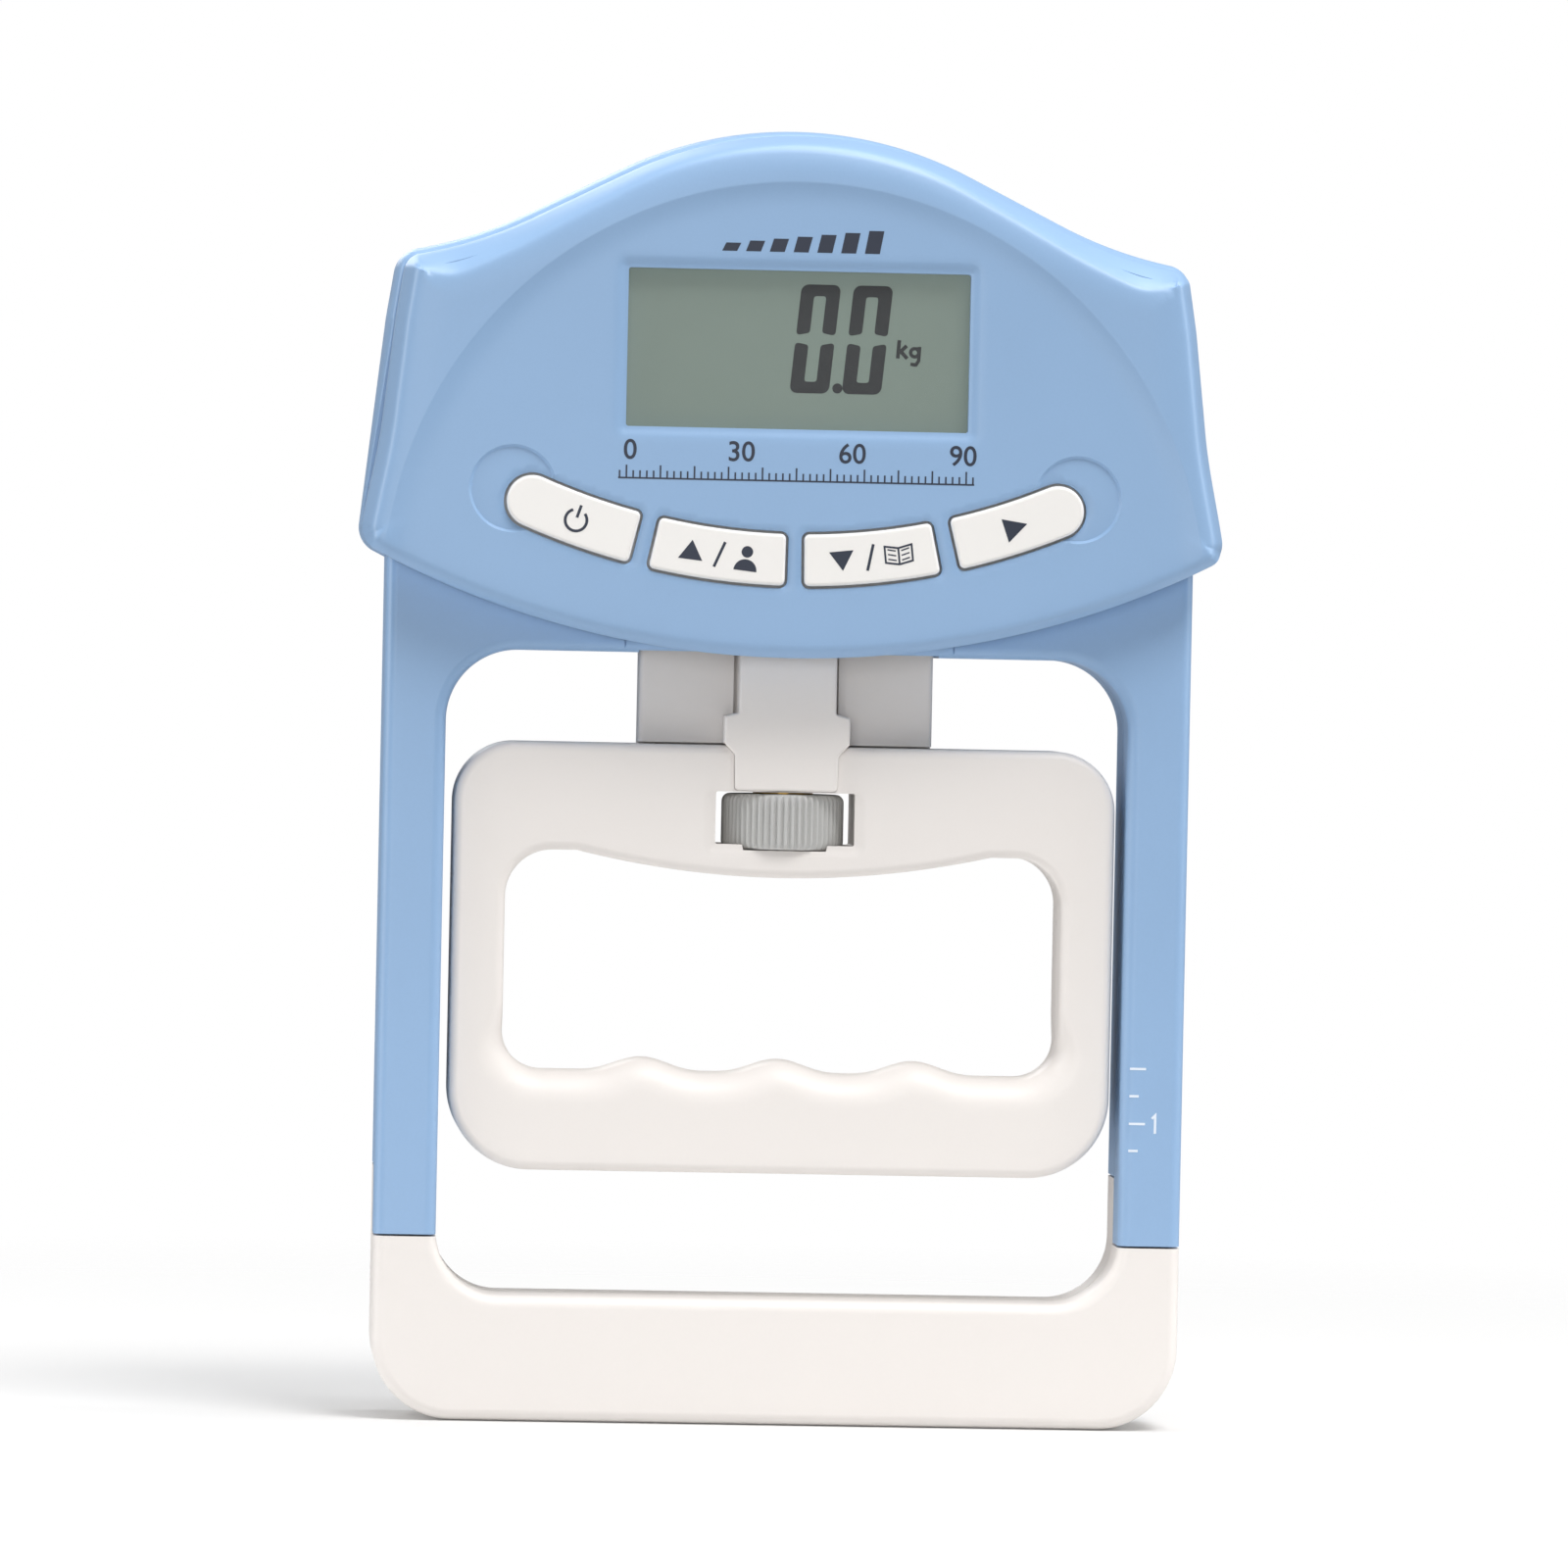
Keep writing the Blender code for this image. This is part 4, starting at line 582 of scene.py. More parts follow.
# %% Skin helpers
def inside(points, outline):
    """Which points lie inside the outline."""
    a = np.array([tuple(p) for p in outline])
    b = np.roll(a, -1, axis=0)
    found = np.zeros(len(points), bool)
    for (ax, az), (bx, bz) in zip(a, b):
        if az == bz:
            continue
        spans = (az > points[:, 1]) != (bz > points[:, 1])
        found ^= spans & (points[:, 0] < ax + (points[:, 1] - az) * (bx - ax) / (bz - az))
    return found


def nearest(points, outline):
    """Distance to the outline, the side that is nearest, and how far along that side."""
    a = np.array([tuple(p) for p in outline])
    side = np.roll(a, -1, axis=0) - a
    length = (side**2).sum(axis=1)
    distances, sides, shares = [], [], []
    for some in np.array_split(points, max(1, len(points) // 1500)):
        offset = some[:, None, :] - a[None]
        share = np.clip((offset * side[None]).sum(axis=2) / length, 0, 1)
        gap = ((offset - share[..., None] * side[None]) ** 2).sum(axis=2)
        best = gap.argmin(axis=1)
        row = np.arange(len(some))
        distances.append(np.sqrt(gap[row, best]))
        sides.append(best)
        shares.append(share[row, best])
    return np.concatenate(distances), np.concatenate(sides), np.concatenate(shares)


def trimmed(outline, distance):
    """The outline inset, without the points that tight corners would fold over."""
    moved = inset(outline, distance)
    gap = nearest(np.array([tuple(p) for p in moved]), outline)[0]
    return [point for point, far in zip(moved, gap) if far > 0.98 * distance]


def along(values, sides, shares):
    """A value given for each point of an outline, read at the nearest places."""
    values = np.asarray(values)
    return values[sides] * (1 - shares) + np.roll(values, -1)[sides] * shares


def smooth(value, low, high):
    share = np.clip((value - low) / (high - low), 0, 1)
    return share * share * (3 - 2 * share)


def fill(loops, extra=()):
    """Triangles between an outer loop and its holes, through the extra points as well."""
    points = [tuple(p) for loop in loops for p in loop]
    sides = []
    first = 0
    for loop in loops:
        sides += [(first + i, first + (i + 1) % len(loop)) for i in range(len(loop))]
        first += len(loop)
    points += [tuple(p) for p in extra]
    scaled = [Vector((x * 1000, z * 1000)) for x, z in points]
    _, _, triangles, source, _, _ = delaunay_2d_cdt(scaled, sides, [], 0, 1e-6)
    faces = np.array([[source[i][0] for i in triangle] for triangle in triangles])
    where = np.array(points)
    middle = where[faces].mean(axis=1)
    keep = inside(middle, loops[0])
    for loop in loops[1:]:
        keep &= ~inside(middle, loop)
    return where, faces[keep]


def spread(loops, rings, spacing, room):
    """Points for a skin: the given rings, then an even grid, thinned where they would crowd."""
    kept = [tuple(p) for loop in loops for p in loop]
    low, high = np.array(kept).min(axis=0), np.array(kept).max(axis=0)
    rows = int((high[1] - low[1]) / (spacing * 0.866)) + 1
    grid = [(low[0] + spacing * (i + 0.5 * (j % 2)), low[1] + spacing * 0.866 * j) for j in range(rows)
            for i in range(int((high[0] - low[0]) / spacing) + 1)]
    extra = []
    for batch, gap in [(ring, room) for ring in rings] + [(grid, spacing * 0.62)]:
        tree = KDTree(len(kept))
        for i, (x, z) in enumerate(kept):
            tree.insert((x, z, 0), i)
        tree.balance()
        fresh = []
        for x, z in (tuple(p) for p in batch):
            if tree.find((x, z, 0))[2] > gap:
                fresh.append((x, z))
        kept += fresh
        extra += fresh
    extra = np.array(extra)
    keep = inside(extra, loops[0])
    for loop in loops[1:]:
        keep &= ~inside(extra, loop)
    return [tuple(p) for p in extra[keep]]


def skinned(name, rim, holes, extra, depth, side, seam, paint, hollow=None):
    """Closed shell: a skin at depth(points), a side wall through (inset, depth) pairs, and a back at
    the seam. With hollow = (wall, depth) it is a tray; otherwise it is solid. The holes go right through."""
    where, faces = fill([rim, *holes], extra)
    points = [(x, y, z) for (x, z), y in zip(where, depth(where))]
    solid = [tuple(int(i) for i in face) for face in faces]
    outer = list(range(len(rim)))
    starts = []
    first = len(rim)
    for hole in holes:
        starts.append(list(range(first, first + len(hole))))
        first += len(hole)

    def wall(near, far):
        for i in range(len(near)):
            solid.append((near[i - 1], near[i], far[i], far[i - 1]))

    def ring(outline, y):
        begin = len(points)
        points.extend((p[0], y, p[1]) for p in outline)
        return list(range(begin, begin + len(outline)))

    def cap(loops, indexes):
        flat, triangles = fill(loops)
        lookup = [i for loop in indexes for i in loop]
        solid.extend(tuple(lookup[int(i)] for i in triangle) for triangle in triangles)

    last = rim
    for distance, y in side:
        last = inset(rim, distance)
        fresh = ring(last, y)
        wall(outer, fresh)
        outer = fresh
    far = seam
    if hollow:
        thickness, far = hollow
        tray = trimmed(last, thickness)
        lip = ring(tray, seam)
        cap([last, tray], [outer, lip])
        floor = ring(tray, far)
        wall(lip, floor)
        last, outer = tray, floor
    ends = [ring(hole, far) for hole in holes]
    for begin, end in zip(starts, ends):
        wall(begin, end)
    cap([last, *holes], [outer, *ends])
    return add_mesh(name, points, solid, paint)


# %% [markdown]
# ## Head cover
# The face of the instrument. A brow runs round the top; it falls back in a band that widens towards the
# shoulders, where it forms a soft valley, and closes again at the ears. An ellipse steps the face panel
# down behind the brow. The display sits in a shallow dish, and a round dimple lies behind each outer key.

# %% Head outline
FOOT_RADIUS = 0.1360
FOOT_END = HEAD_HALF + 0.0006  # where the underside's arc would meet the side, before the corner is rounded
KNEE = (HEAD_HALF - 0.0031, CROSS + 0.0490, 0.0250)  # x, z and radius of the corners up one side
EAR = (HEAD_HALF - 0.0046, CROSS + 0.0586, 0.0038)
SHOULDER = (HEAD_HALF - 0.0160, CROSS + 0.0609, 0.0628)
CROWN = (0, CROSS + 0.0846, 0.0580)


def head_foot(x):
    """Height of the head's underside at x."""
    return HEAD_FOOT + FOOT_RADIUS - math.sqrt(FOOT_RADIUS**2 - x**2)


def head_outline():
    reach = LEG_HALF - 0.0010
    half = [(reach * k / 60, head_foot(reach * k / 60), 0) for k in range(61)]
    half += [(FOOT_END, head_foot(FOOT_END), 0.0040), KNEE, EAR, SHOULDER]
    other = [(-x, z, radius) for x, z, radius in reversed(half[1:])]
    return rounded(half + [CROWN] + other)


KEY_CENTRE = CROSS + 0.1128  # height of the point about which the four keys lie on an arc
KEY_RADIUS = 0.0988
KEY_HALF = 0.0038
KEY_CORNER = 0.0008
KEY_TURNS = [math.radians(turn) for turn in (0.8, 12.1, 13.8, 23.05)]  # ends of the inner and the outer key


def key_outline(begin, end, round_end):
    """One key of the right-hand pair, on its arc; angles are from straight down."""
    def at(radius, angle):
        return radius * math.sin(angle), KEY_CENTRE - radius * math.cos(angle)

    low, high = KEY_RADIUS + KEY_HALF, KEY_RADIUS - KEY_HALF
    middle = [begin + (end - begin) * k / 16 for k in range(1, 16)]
    corners = [(*at(low, begin), KEY_CORNER)] + [(*at(low, turn), 0) for turn in middle]
    if round_end:
        x, z = at(KEY_RADIUS, end)
        for k in range(25):
            turn = end - math.pi / 2 + math.pi * k / 24
            corners.append((x + KEY_HALF * math.cos(turn), z + KEY_HALF * math.sin(turn), 0))
    else:
        corners += [(*at(low, end), KEY_CORNER), (*at(high, end), KEY_CORNER)]
    corners += [(*at(high, turn), 0) for turn in reversed(middle)] + [(*at(high, begin), KEY_CORNER)]
    return rounded(corners)


def key_outlines():
    inner = key_outline(KEY_TURNS[0], KEY_TURNS[1], False)
    outer = key_outline(KEY_TURNS[2], KEY_TURNS[3], True)
    return {"power": mirrored(outer), "up": mirrored(inner), "down": inner, "start": outer}


HEAD = head_outline()
KEYS = key_outlines()
print("head outline", len(HEAD), "points")

# %% [markdown]
# ### Its relief
# The face has one formula, as a sum of plain shapes: the fall behind the brow, the roll at the rim, the
# cove down to the panel, the dish round the display, the dimples and a small lead-in round each key. Each is
# a function of the distance to one outline, so each can be read, and changed, by itself.

# %% Relief of the head's face
BROW = (0.0605, 0.0615, CROSS + 0.0080)  # half width, rise and centre of the ellipse
PANEL_STEP = 0.0005  # how far the panel lies behind the brow
COVE = 0.0036  # width of the hollow that runs down from the brow to the panel
ROLL_WIDTH = 0.0074  # width over which the brow rolls over towards the rim
PARTING = 0.0012  # how far the cover stands inside the rear shell
# The band's width at the top, at these distances from the middle: widest at the shoulders.
BAND_PLACES = [0.0, 0.020, 0.030, 0.0368, 0.0435, 0.048, 0.0516, 0.0543, 0.0569]
BAND_WIDTHS = [0.0015, 0.0016, 0.0020, 0.0024, 0.0030, 0.0036, 0.0042, 0.0030, 0.0012]
WINDOW = divided(block(-LCD_HALF, LCD_HALF, LCD_LOW, LCD_HIGH, 0.0004), 0.0006)
KEY_HOLES = {name: divided(inset(outline, -0.0004), 0.0005) for name, outline in KEYS.items()}
DIMPLES = [(side * 0.0416, CROSS + 0.0237) for side in (-1, 1)]
DIMPLE_INSIDE, DIMPLE_OUTSIDE = 0.00605, 0.00645  # the radii between which a dimple's wall falls
DISH_REACH = 0.0018
DIMPLE_DEPTH = 0.00040
DISH_DEPTH = 0.00045
CREASE = 0.00030  # how softly the band's fall begins
LEAD_IN = 0.00035
LEAD_IN_DEPTH = 0.00018


def normals(outline):
    """Outward direction at each point of an outline."""
    found = []
    for i, here in enumerate(outline):
        way = outline[(i + 1) % len(outline)] - outline[i - 1]
        found.append(Vector((way.y, -way.x)).normalized())
    return found


def parting_reach(outline):
    """The cover's inset behind the rear shell: none along the underside, the whole of it at the top."""
    return [PARTING * float(smooth(p.y, CROSS + 0.014, CROSS + 0.034)) for p in outline]


# Which way the rim faces tells the top from the underside, and each has its own band, fall and roll.
RIM = divided(HEAD, 0.0006)
RIM = inset(RIM, parting_reach(RIM))
RIM_OUT = np.array([tuple(n) for n in normals(RIM)])
TOPWARD = smooth(RIM_OUT[:, 1], 0.15, 0.75)
FOOTWARD = smooth(-RIM_OUT[:, 1], 0.30, 0.80)
band_top = np.interp(np.abs([p.x for p in RIM]), BAND_PLACES, BAND_WIDTHS)
BAND = 0.0014 + TOPWARD * (band_top - 0.0014) - FOOTWARD * 0.0004
DROP = 0.0040 - FOOTWARD * 0.0026
ROLL = 0.0013 + 0.0013 * TOPWARD - 0.0011 * FOOTWARD
for _ in range(12):
    BAND = (np.roll(BAND, 1) + BAND * 2 + np.roll(BAND, -1)) / 4


def rectangle_gap(points, half, low, high):
    """Distance from a window, outside it."""
    x = np.maximum(np.abs(points[:, 0]) - half, 0)
    z = np.maximum(np.maximum(low - points[:, 1], points[:, 1] - high), 0)
    return np.hypot(x, z)


def head_depth(points):
    edge, sides, shares = nearest(points, RIM)
    band, drop = along(BAND, sides, shares), along(DROP, sides, shares)
    fall = drop / band * CREASE * np.logaddexp(0, (band - edge) / CREASE)
    half, painted_top_light, middle = BROW
    beyond = (np.hypot(points[:, 0] / half, (points[:, 1] - middle) / painted_top_light) - 1) * half
    cove = np.clip(1 + beyond / COVE, 0, 1)
    step = PANEL_STEP * (1 - cove**2)
    bulge = np.clip(1 - edge / ROLL_WIDTH, 0, 1)
    brow = along(ROLL, sides, shares) * (1 - np.sqrt(1 - np.minimum(bulge, 0.98) ** 2)) / 0.8
    gap = rectangle_gap(points, LCD_HALF, LCD_LOW, LCD_HIGH)
    dish = DISH_DEPTH * (1 - smooth(gap, 0, DISH_REACH))
    dimple = 0
    for x, z in DIMPLES:
        away = np.hypot(points[:, 0] - x, points[:, 1] - z)
        dimple = dimple + DIMPLE_DEPTH * (1 - smooth(away, DIMPLE_INSIDE, DIMPLE_OUTSIDE))
    lip = 0
    for hole in KEY_HOLES.values():
        near = nearest(points, hole)[0]
        lip = lip + LEAD_IN_DEPTH * (1 - smooth(near, 0, LEAD_IN))
    return FRONT + fall + step + brow + dish + dimple + lip


print("rim", len(RIM), "points, band", round(BAND.min(), 5), "to", round(BAND.max(), 5))

# %% [markdown]
# ### Its shell
# The skin needs points where the relief bends, so rings of them follow the rim, the cove, the window, the
# keys and the dimples. The wall behind the skin makes it a tray, and the legs' front plate is cut out of it.

# %% Head cover
def ellipse(offset, count=420):
    half, painted_top_light, middle = BROW
    turns = [2 * math.pi * k / count for k in range(count)]
    return [Vector(((half + offset) * math.cos(t), middle + (painted_top_light + offset) * math.sin(t))) for t in turns]


def head_rings():
    rings = [inset(RIM, list(BAND * share)) for share in (0.15, 0.35, 0.55, 0.75, 0.9)]
    rings += [inset(RIM, list(BAND + offset)) for offset in (0, 0.0002, 0.0004, 0.0007, 0.0010, 0.0014)]
    rings += [ellipse(-share * COVE) for share in (1, 0.75, 0.5, 0.3, 0.15)]
    rings += [ellipse(offset) for offset in (-0.0002, -0.00008, 0.00004, 0.0002, 0.0006)]
    rings += [inset(WINDOW, -offset) for offset in (0.0003, 0.0006, 0.0009, 0.0013, DISH_REACH)]
    for hole in KEY_HOLES.values():
        rings += [inset(hole, -offset) for offset in (0.00018, LEAD_IN)]
    for x, z in DIMPLES:
        rings += [disc(x, z, radius, 110) for radius in (DIMPLE_INSIDE, 0.00625, DIMPLE_OUTSIDE)]
    return rings


def make_head_cover():
    holes = [WINDOW, *KEY_HOLES.values()]
    extra = spread([RIM, *holes], head_rings(), 0.00085, 0.00011)
    seam = -GAP / 2
    side = [(0, -0.0012), (0.0002, seam)]  # straight back, then a hair inwards at the parting line
    cover = skinned("display_cover", RIM, holes, extra, head_depth, side, seam, BLUE, (WALL, FRONT + 0.0025))
    reach = LEG_HALF + GAP
    cut(cover, box((-reach, reach), (LEG_FRONT - GAP, WALL), (0, CROSS_TOP + GAP)))
    return place(cover, "frame", "blue_plastic", "head_cover", weighted=False)


make_head_cover()


# %% [markdown]
# ## Legs and cross bar
# The front half of the frame is an arch with rounded edges. A wide slot behind its front skin lets the
# handle's neck through. The two fine grooves beside it are where a separate insert closes the mould.

# %% Front half of the frame
EDGE = 0.0018
CROTCH = 0.0105  # radius where a leg meets the cross bar
NECK_SLOT = NECK_HALF + 0.0004
INSERT_HALF = 0.0243


def arch(outer, inner, foot, crown, top, radius=CROTCH):
    """Two legs and a cross bar, around an opening that starts at the foot."""
    return rounded([(outer, foot, 0), (outer, top, 0), (-outer, top, 0), (-outer, foot, 0),
                    (-inner, foot, 0), (-inner, crown, radius), (inner, crown, radius), (inner, foot, 0)])


def make_frame_front():
    outline = arch(LEG_HALF, OPENING_HALF, SPLIT_FRONT - 2 * EDGE, CROSS, CROSS_TOP)
    piece = pillow("frame_front_shell", outline, edges(LEG_FRONT, leg_high.y, EDGE), BLUE)
    cut(piece, box((-WIDE, WIDE), (-OUT, OUT), (0, SPLIT_FRONT + GAP / 2)))
    cut(piece, box((-NECK_SLOT, NECK_SLOT), (stem_low.y - 0.0007, OUT), (0, CROSS_TOP + WALL)))
    half = 0.00012
    sunk = (LEG_FRONT - 0.001, LEG_FRONT + 0.0004)
    grooves = []
    for side in (-1, 1):
        middle = side * INSERT_HALF
        grooves.append(box((middle - half, middle + half), sunk, (CROSS - 0.001, CROSS_TOP + 0.001)))
    cut(piece, *grooves)
    return place(piece, "frame", "blue_plastic", "frame_front")


make_frame_front()

# %% [markdown]
# ## Screw places
# The casings are screwed together from behind. Each kind of screw has its number, the radius of its shank
# and the height of its head here; where it stands, and how wide its head is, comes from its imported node.
# From these come three sorts of tools: wells for the heads, holes for the shanks, and posts around them.

# %% Screw places
SCREWS = {  # number, radius of the shank, height of the head
    "head_screw": (4, 0.0012, 0.0016),
    "leg_screw": (2, 0.0009, 0.0014),
    "base_screw": (2, 0.0012, 0.0016),
    "handle_screw": (4, 0.0012, 0.0016),
    "bracket_screw": (2, 0.0015, 0.0020),
    "board_screw": (2, 0.0009, 0.0011),
}


def screw_places(kind):
    """Middle, head radius and the depth of the seat under the head, for each screw of a kind."""
    found = []
    for i in range(1, SCREWS[kind][0] + 1):
        low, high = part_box(f"{kind}_{i}")
        middle = (low + high) / 2
        found.append((middle.x, middle.z, (high.x - low.x) / 2, high.y - SCREWS[kind][2] - GAP))
    return found


def wells(kind, face):
    """Tools that sink the heads of these screws from the back."""
    return [rod(x, z, radius + GAP, seat, face + WALL) for x, z, radius, seat in screw_places(kind)]


def drills(kind, front, face):
    shank = SCREWS[kind][1]
    return [rod(x, z, shank + GAP, front, face + WALL, 20) for x, z, *_ in screw_places(kind)]


def posts(kind, front, inner_back):
    return [rod(x, z, radius + 0.0012, front, inner_back + 0.0006) for x, z, radius, _ in screw_places(kind)]


for kind in SCREWS:
    print(kind, [(round(x, 4), round(z, 4)) for x, z, *_ in screw_places(kind)])

# %% [markdown]
# ## Rear half
# One moulding holds the back of the head and the rear halves of the legs. Its front edge swells round to
# meet the slimmer cover, which shows as a fine parting line. It is built as it would be cut from a block:
# the head and the legs are joined, hollowed, slotted for the neck, and given the battery bay's tub.

# %% Rear frame
door_low, door_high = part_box("battery_door")
PLAY = 0.0004
LAP = 0.0005  # the ledge on which the battery door rests
BAY_HALF = door_high.x + PLAY - LAP
BAY_LOW = door_low.z - PLAY + LAP
BAY_HIGH = door_high.z + PLAY - LAP
BAY_FLOOR = 0.0009
BAY_WALL = 0.0011
BACK_ROUND = 0.0026
SWELL = 0.0045  # depth over which the rear shell swells out from the parting line


def make_frame_rear():
    inner_back = BACK - WALL
    reach = parting_reach(HEAD)
    profile = [([r * (1 - math.sin(t)) for r in reach], GAP / 2 + SWELL * (1 - math.cos(t)))
               for t in quarter_turns(8)]
    profile += edges(FRONT, BACK, 0, BACK_ROUND)[1:]
    piece = pillow("frame_rear_shell", HEAD, profile, BLUE)
    front = leg_high.y + GAP
    legs = arch(LEG_HALF, OPENING_HALF, SPLIT_BACK - 2 * EDGE, CROSS, CROSS_TOP)
    add(piece, pillow("tool", legs, edges(front, BACK, 0, EDGE), BLUE))
    cut(piece, box((-WIDE, WIDE), (-OUT, OUT), (0, SPLIT_BACK + GAP / 2)))
    tray = trimmed(HEAD, WALL + 0.0002)
    cut(piece, prism("tool", tray, -WALL, inner_back))
    hollow = arch(LEG_HALF - WALL, OPENING_HALF + WALL, SPLIT_BACK + WALL, CROSS + WALL, CROSS_TOP + WALL)
    cut(piece, prism("tool", hollow, front - WALL, inner_back - GAP))
    cut(piece, box((-NECK_SLOT, NECK_SLOT), (-OUT, NECK_BACK + 0.001), (0, CROSS + 2 * WALL)))
    tub = box((-BAY_HALF - BAY_WALL, BAY_HALF + BAY_WALL), (BAY_FLOOR - BAY_WALL, inner_back + GAP),
              (BAY_LOW - BAY_WALL, BAY_HIGH + BAY_WALL))
    add(piece, tub)
    cut(piece, box((-BAY_HALF, BAY_HALF), (BAY_FLOOR, OUT), (BAY_LOW, BAY_HIGH)))
    mouth = block(-BAY_HALF - LAP, BAY_HALF + LAP, BAY_LOW - LAP, BAY_HIGH + LAP, 0.0012)
    cut(piece, prism("tool", mouth, inner_back, OUT))
    add(piece, *posts("head_screw", 0.0004, inner_back), *posts("leg_screw", 0.0034, inner_back))
    cut(piece, *drills("head_screw", -0.002, BACK), *drills("leg_screw", 0.002, BACK))
    cut(piece, *wells("head_screw", BACK), *wells("leg_screw", BACK))
    return place(piece, "frame", "blue_plastic", "frame_rear")


make_frame_rear()

# %% [markdown]
# ## Battery door
# A flat lid that swings down on its bottom edge. Three sunk grip lines and an arrow, as on most such lids,
# show the thumb where to push. They are cut with one Boolean, since none of them touches another.

# %% Battery door
GRIP_HALF = 0.0060
GRIP_PITCH = 0.0013
ARROW_HALF = 0.0022


def make_door():
    outline = block(door_low.x, door_high.x, door_low.z, door_high.z, 0.0010)
    piece = pillow("battery_cover", outline, edges(door_low.y, door_high.y, 0, 0.0004), BLUE)
    sunk = (BACK - 0.0005, BACK + 0.001)
    grips = []
    for k in range(3):
        middle = door_high.z - 0.0030 - k * GRIP_PITCH
        grips.append(box((-GRIP_HALF, GRIP_HALF), sunk, (middle - 0.0003, middle + 0.0003)))
    foot, point = door_high.z - 0.0115, door_high.z - 0.0083
    arrow = rounded([(ARROW_HALF, foot, 0.0002), (0, point, 0.0002), (-ARROW_HALF, foot, 0.0002)])
    cut(piece, *grips, prism("tool", arrow, BACK - 0.0003, BACK + 0.001))
    return place(piece, "door", "blue_plastic", "battery_door")


make_door()

# %% [markdown]
# ## White base
# Two half shells close round the feet of the legs. The front one steps down where the blue front frame
# stands in it, so its arms are hidden behind the blue there. One function makes both halves: a rounded
# front edge marks the front one, and the rear one has posts for the screws instead.

# %% Base shells
def cradle(outer, inner, bottom, floor, top, foot_round=0.0120, floor_round=0.0095):
    """A broad U: its outside round the bottom corners, then its inside above the floor."""
    return rounded([(-outer, top, 0), (-outer, bottom, foot_round), (outer, bottom, foot_round),
                    (outer, top, 0), (inner, top, 0), (inner, floor, floor_round),
                    (-inner, floor, floor_round), (-inner, top, 0)])


def make_base(name, node, near, far, front_round, back_round):
    outline = cradle(LEG_HALF, OPENING_HALF, 0, BASE_TOP, SPLIT_BACK + 2 * EDGE)
    piece = pillow(name, outline, edges(near, far, front_round, back_round), WHITE)
    above = SPLIT_BACK + OUT
    cut(piece, box((-WIDE, WIDE), (-OUT, OUT), (SPLIT_BACK - GAP / 2, above)))
    arms_front = leg_high.y + GAP
    if front_round:
        cut(piece, box((-WIDE, WIDE), (-OUT, arms_front), (SPLIT_FRONT - GAP / 2, above)))
    hollow = cradle(LEG_HALF - WALL, OPENING_HALF + WALL, WALL, BASE_TOP - WALL, SPLIT_BACK - WALL)
    inner = (arms_front + WALL, far + WALL) if front_round else (near - WALL, far - WALL)
    cut(piece, prism("tool", hollow, *inner))
    if not front_round:
        add(piece, *posts("base_screw", near, far - WALL))
        cut(piece, *drills("base_screw", near - WALL, far))
        cut(piece, *wells("base_screw", far))
    return place(piece, "frame", "white_plastic", node)


make_base("base_front_shell", "base_front", base_low.y, base_high.y, EDGE, 0)
base_rear_low, base_rear_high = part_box("base_rear")
make_base("base_rear_shell", "base_rear", base_rear_low.y, base_rear_high.y, 0, EDGE)

# %% [markdown]
# ## Handle
# The squeezed part. Its ring is nearly square in section at the sides and softly rounded where the fingers
# pull, with four finger valleys. A window shows the knurled wheel, and a slight chamfer leads the thumb in.

# %% Handle outlines
HANDLE_HALF = handle_high.x
HANDLE_FOOT = handle_low.z
HANDLE_TOP = handle_high.z
HANDLE_FRONT = handle_low.y
HANDLE_BACK = HANDLE_FRONT + 0.0150
VALLEY = HANDLE_FOOT + 0.0147  # height of the lowest points of the finger valleys
WINDOW_TOP = HANDLE_TOP - 0.0068
SILL = WINDOW_TOP - 0.0078
WINDOW_HALF = 0.0103
HANDLE_WINDOW = divided(block(-WINDOW_HALF, WINDOW_HALF, SILL, WINDOW_TOP, 0.0003), 0.0006)
FINGER_PITCH = 0.02025
RIDGE_HEIGHT = 0.0020
HOLE_HALF = HANDLE_HALF - 0.0078
HOLE_TOP = HANDLE_TOP - 0.0159
SAG = 0.0036  # how far the hole's top edge hangs down in the middle
OUTER_ROUND = 0.0014
FINGER_ROUND = 0.0048
FOOT_CORNER = 0.0120
TOP_CORNER = 0.0090
CHAMFER_REACH = 0.0019
CHAMFER_DEPTH = 0.00040


def finger_hole():
    corners = []
    for k in range(121):
        x = 1.5 * FINGER_PITCH * (k / 60 - 1)
        ridge = (1 + math.cos(2 * math.pi * x / FINGER_PITCH)) / 2
        corners.append((x, VALLEY + RIDGE_HEIGHT * ridge**1.5, 0))
    corners += [(HOLE_HALF, VALLEY, 0.0060), (HOLE_HALF, HOLE_TOP, 0.0070)]
    span = HOLE_HALF - 0.0105
    corners += [(span * (1 - k / 30), HOLE_TOP - SAG * (1 - (1 - k / 30) ** 2), 0) for k in range(61)]
    corners += [(-HOLE_HALF, HOLE_TOP, 0.0070), (-HOLE_HALF, VALLEY, 0.0060)]
    return rounded(corners)


OUTER = divided(rounded([(HANDLE_HALF, HANDLE_FOOT, FOOT_CORNER), (HANDLE_HALF, HANDLE_TOP, TOP_CORNER),
                         (-HANDLE_HALF, HANDLE_TOP, TOP_CORNER),
                         (-HANDLE_HALF, HANDLE_FOOT, FOOT_CORNER)]), 0.0009)
HOLE = divided(finger_hole(), 0.0008)


def hole_round(outline):
    """Radius of the hole's edge: soft along the fingers, tighter at the sides and the top."""
    share = [1 - float(smooth(p.y, VALLEY + 0.002, VALLEY + 0.010)) for p in outline]
    return np.array([OUTER_ROUND + (FINGER_ROUND - OUTER_ROUND) * value for value in share])


HOLE_ROUND = hole_round(HOLE)


def quarter(distance, radius):
    """How far a quarter round falls at a distance from its edge."""
    share = np.clip(1 - distance / radius, 0, 1)
    return radius * (1 - np.sqrt(1 - share**2))


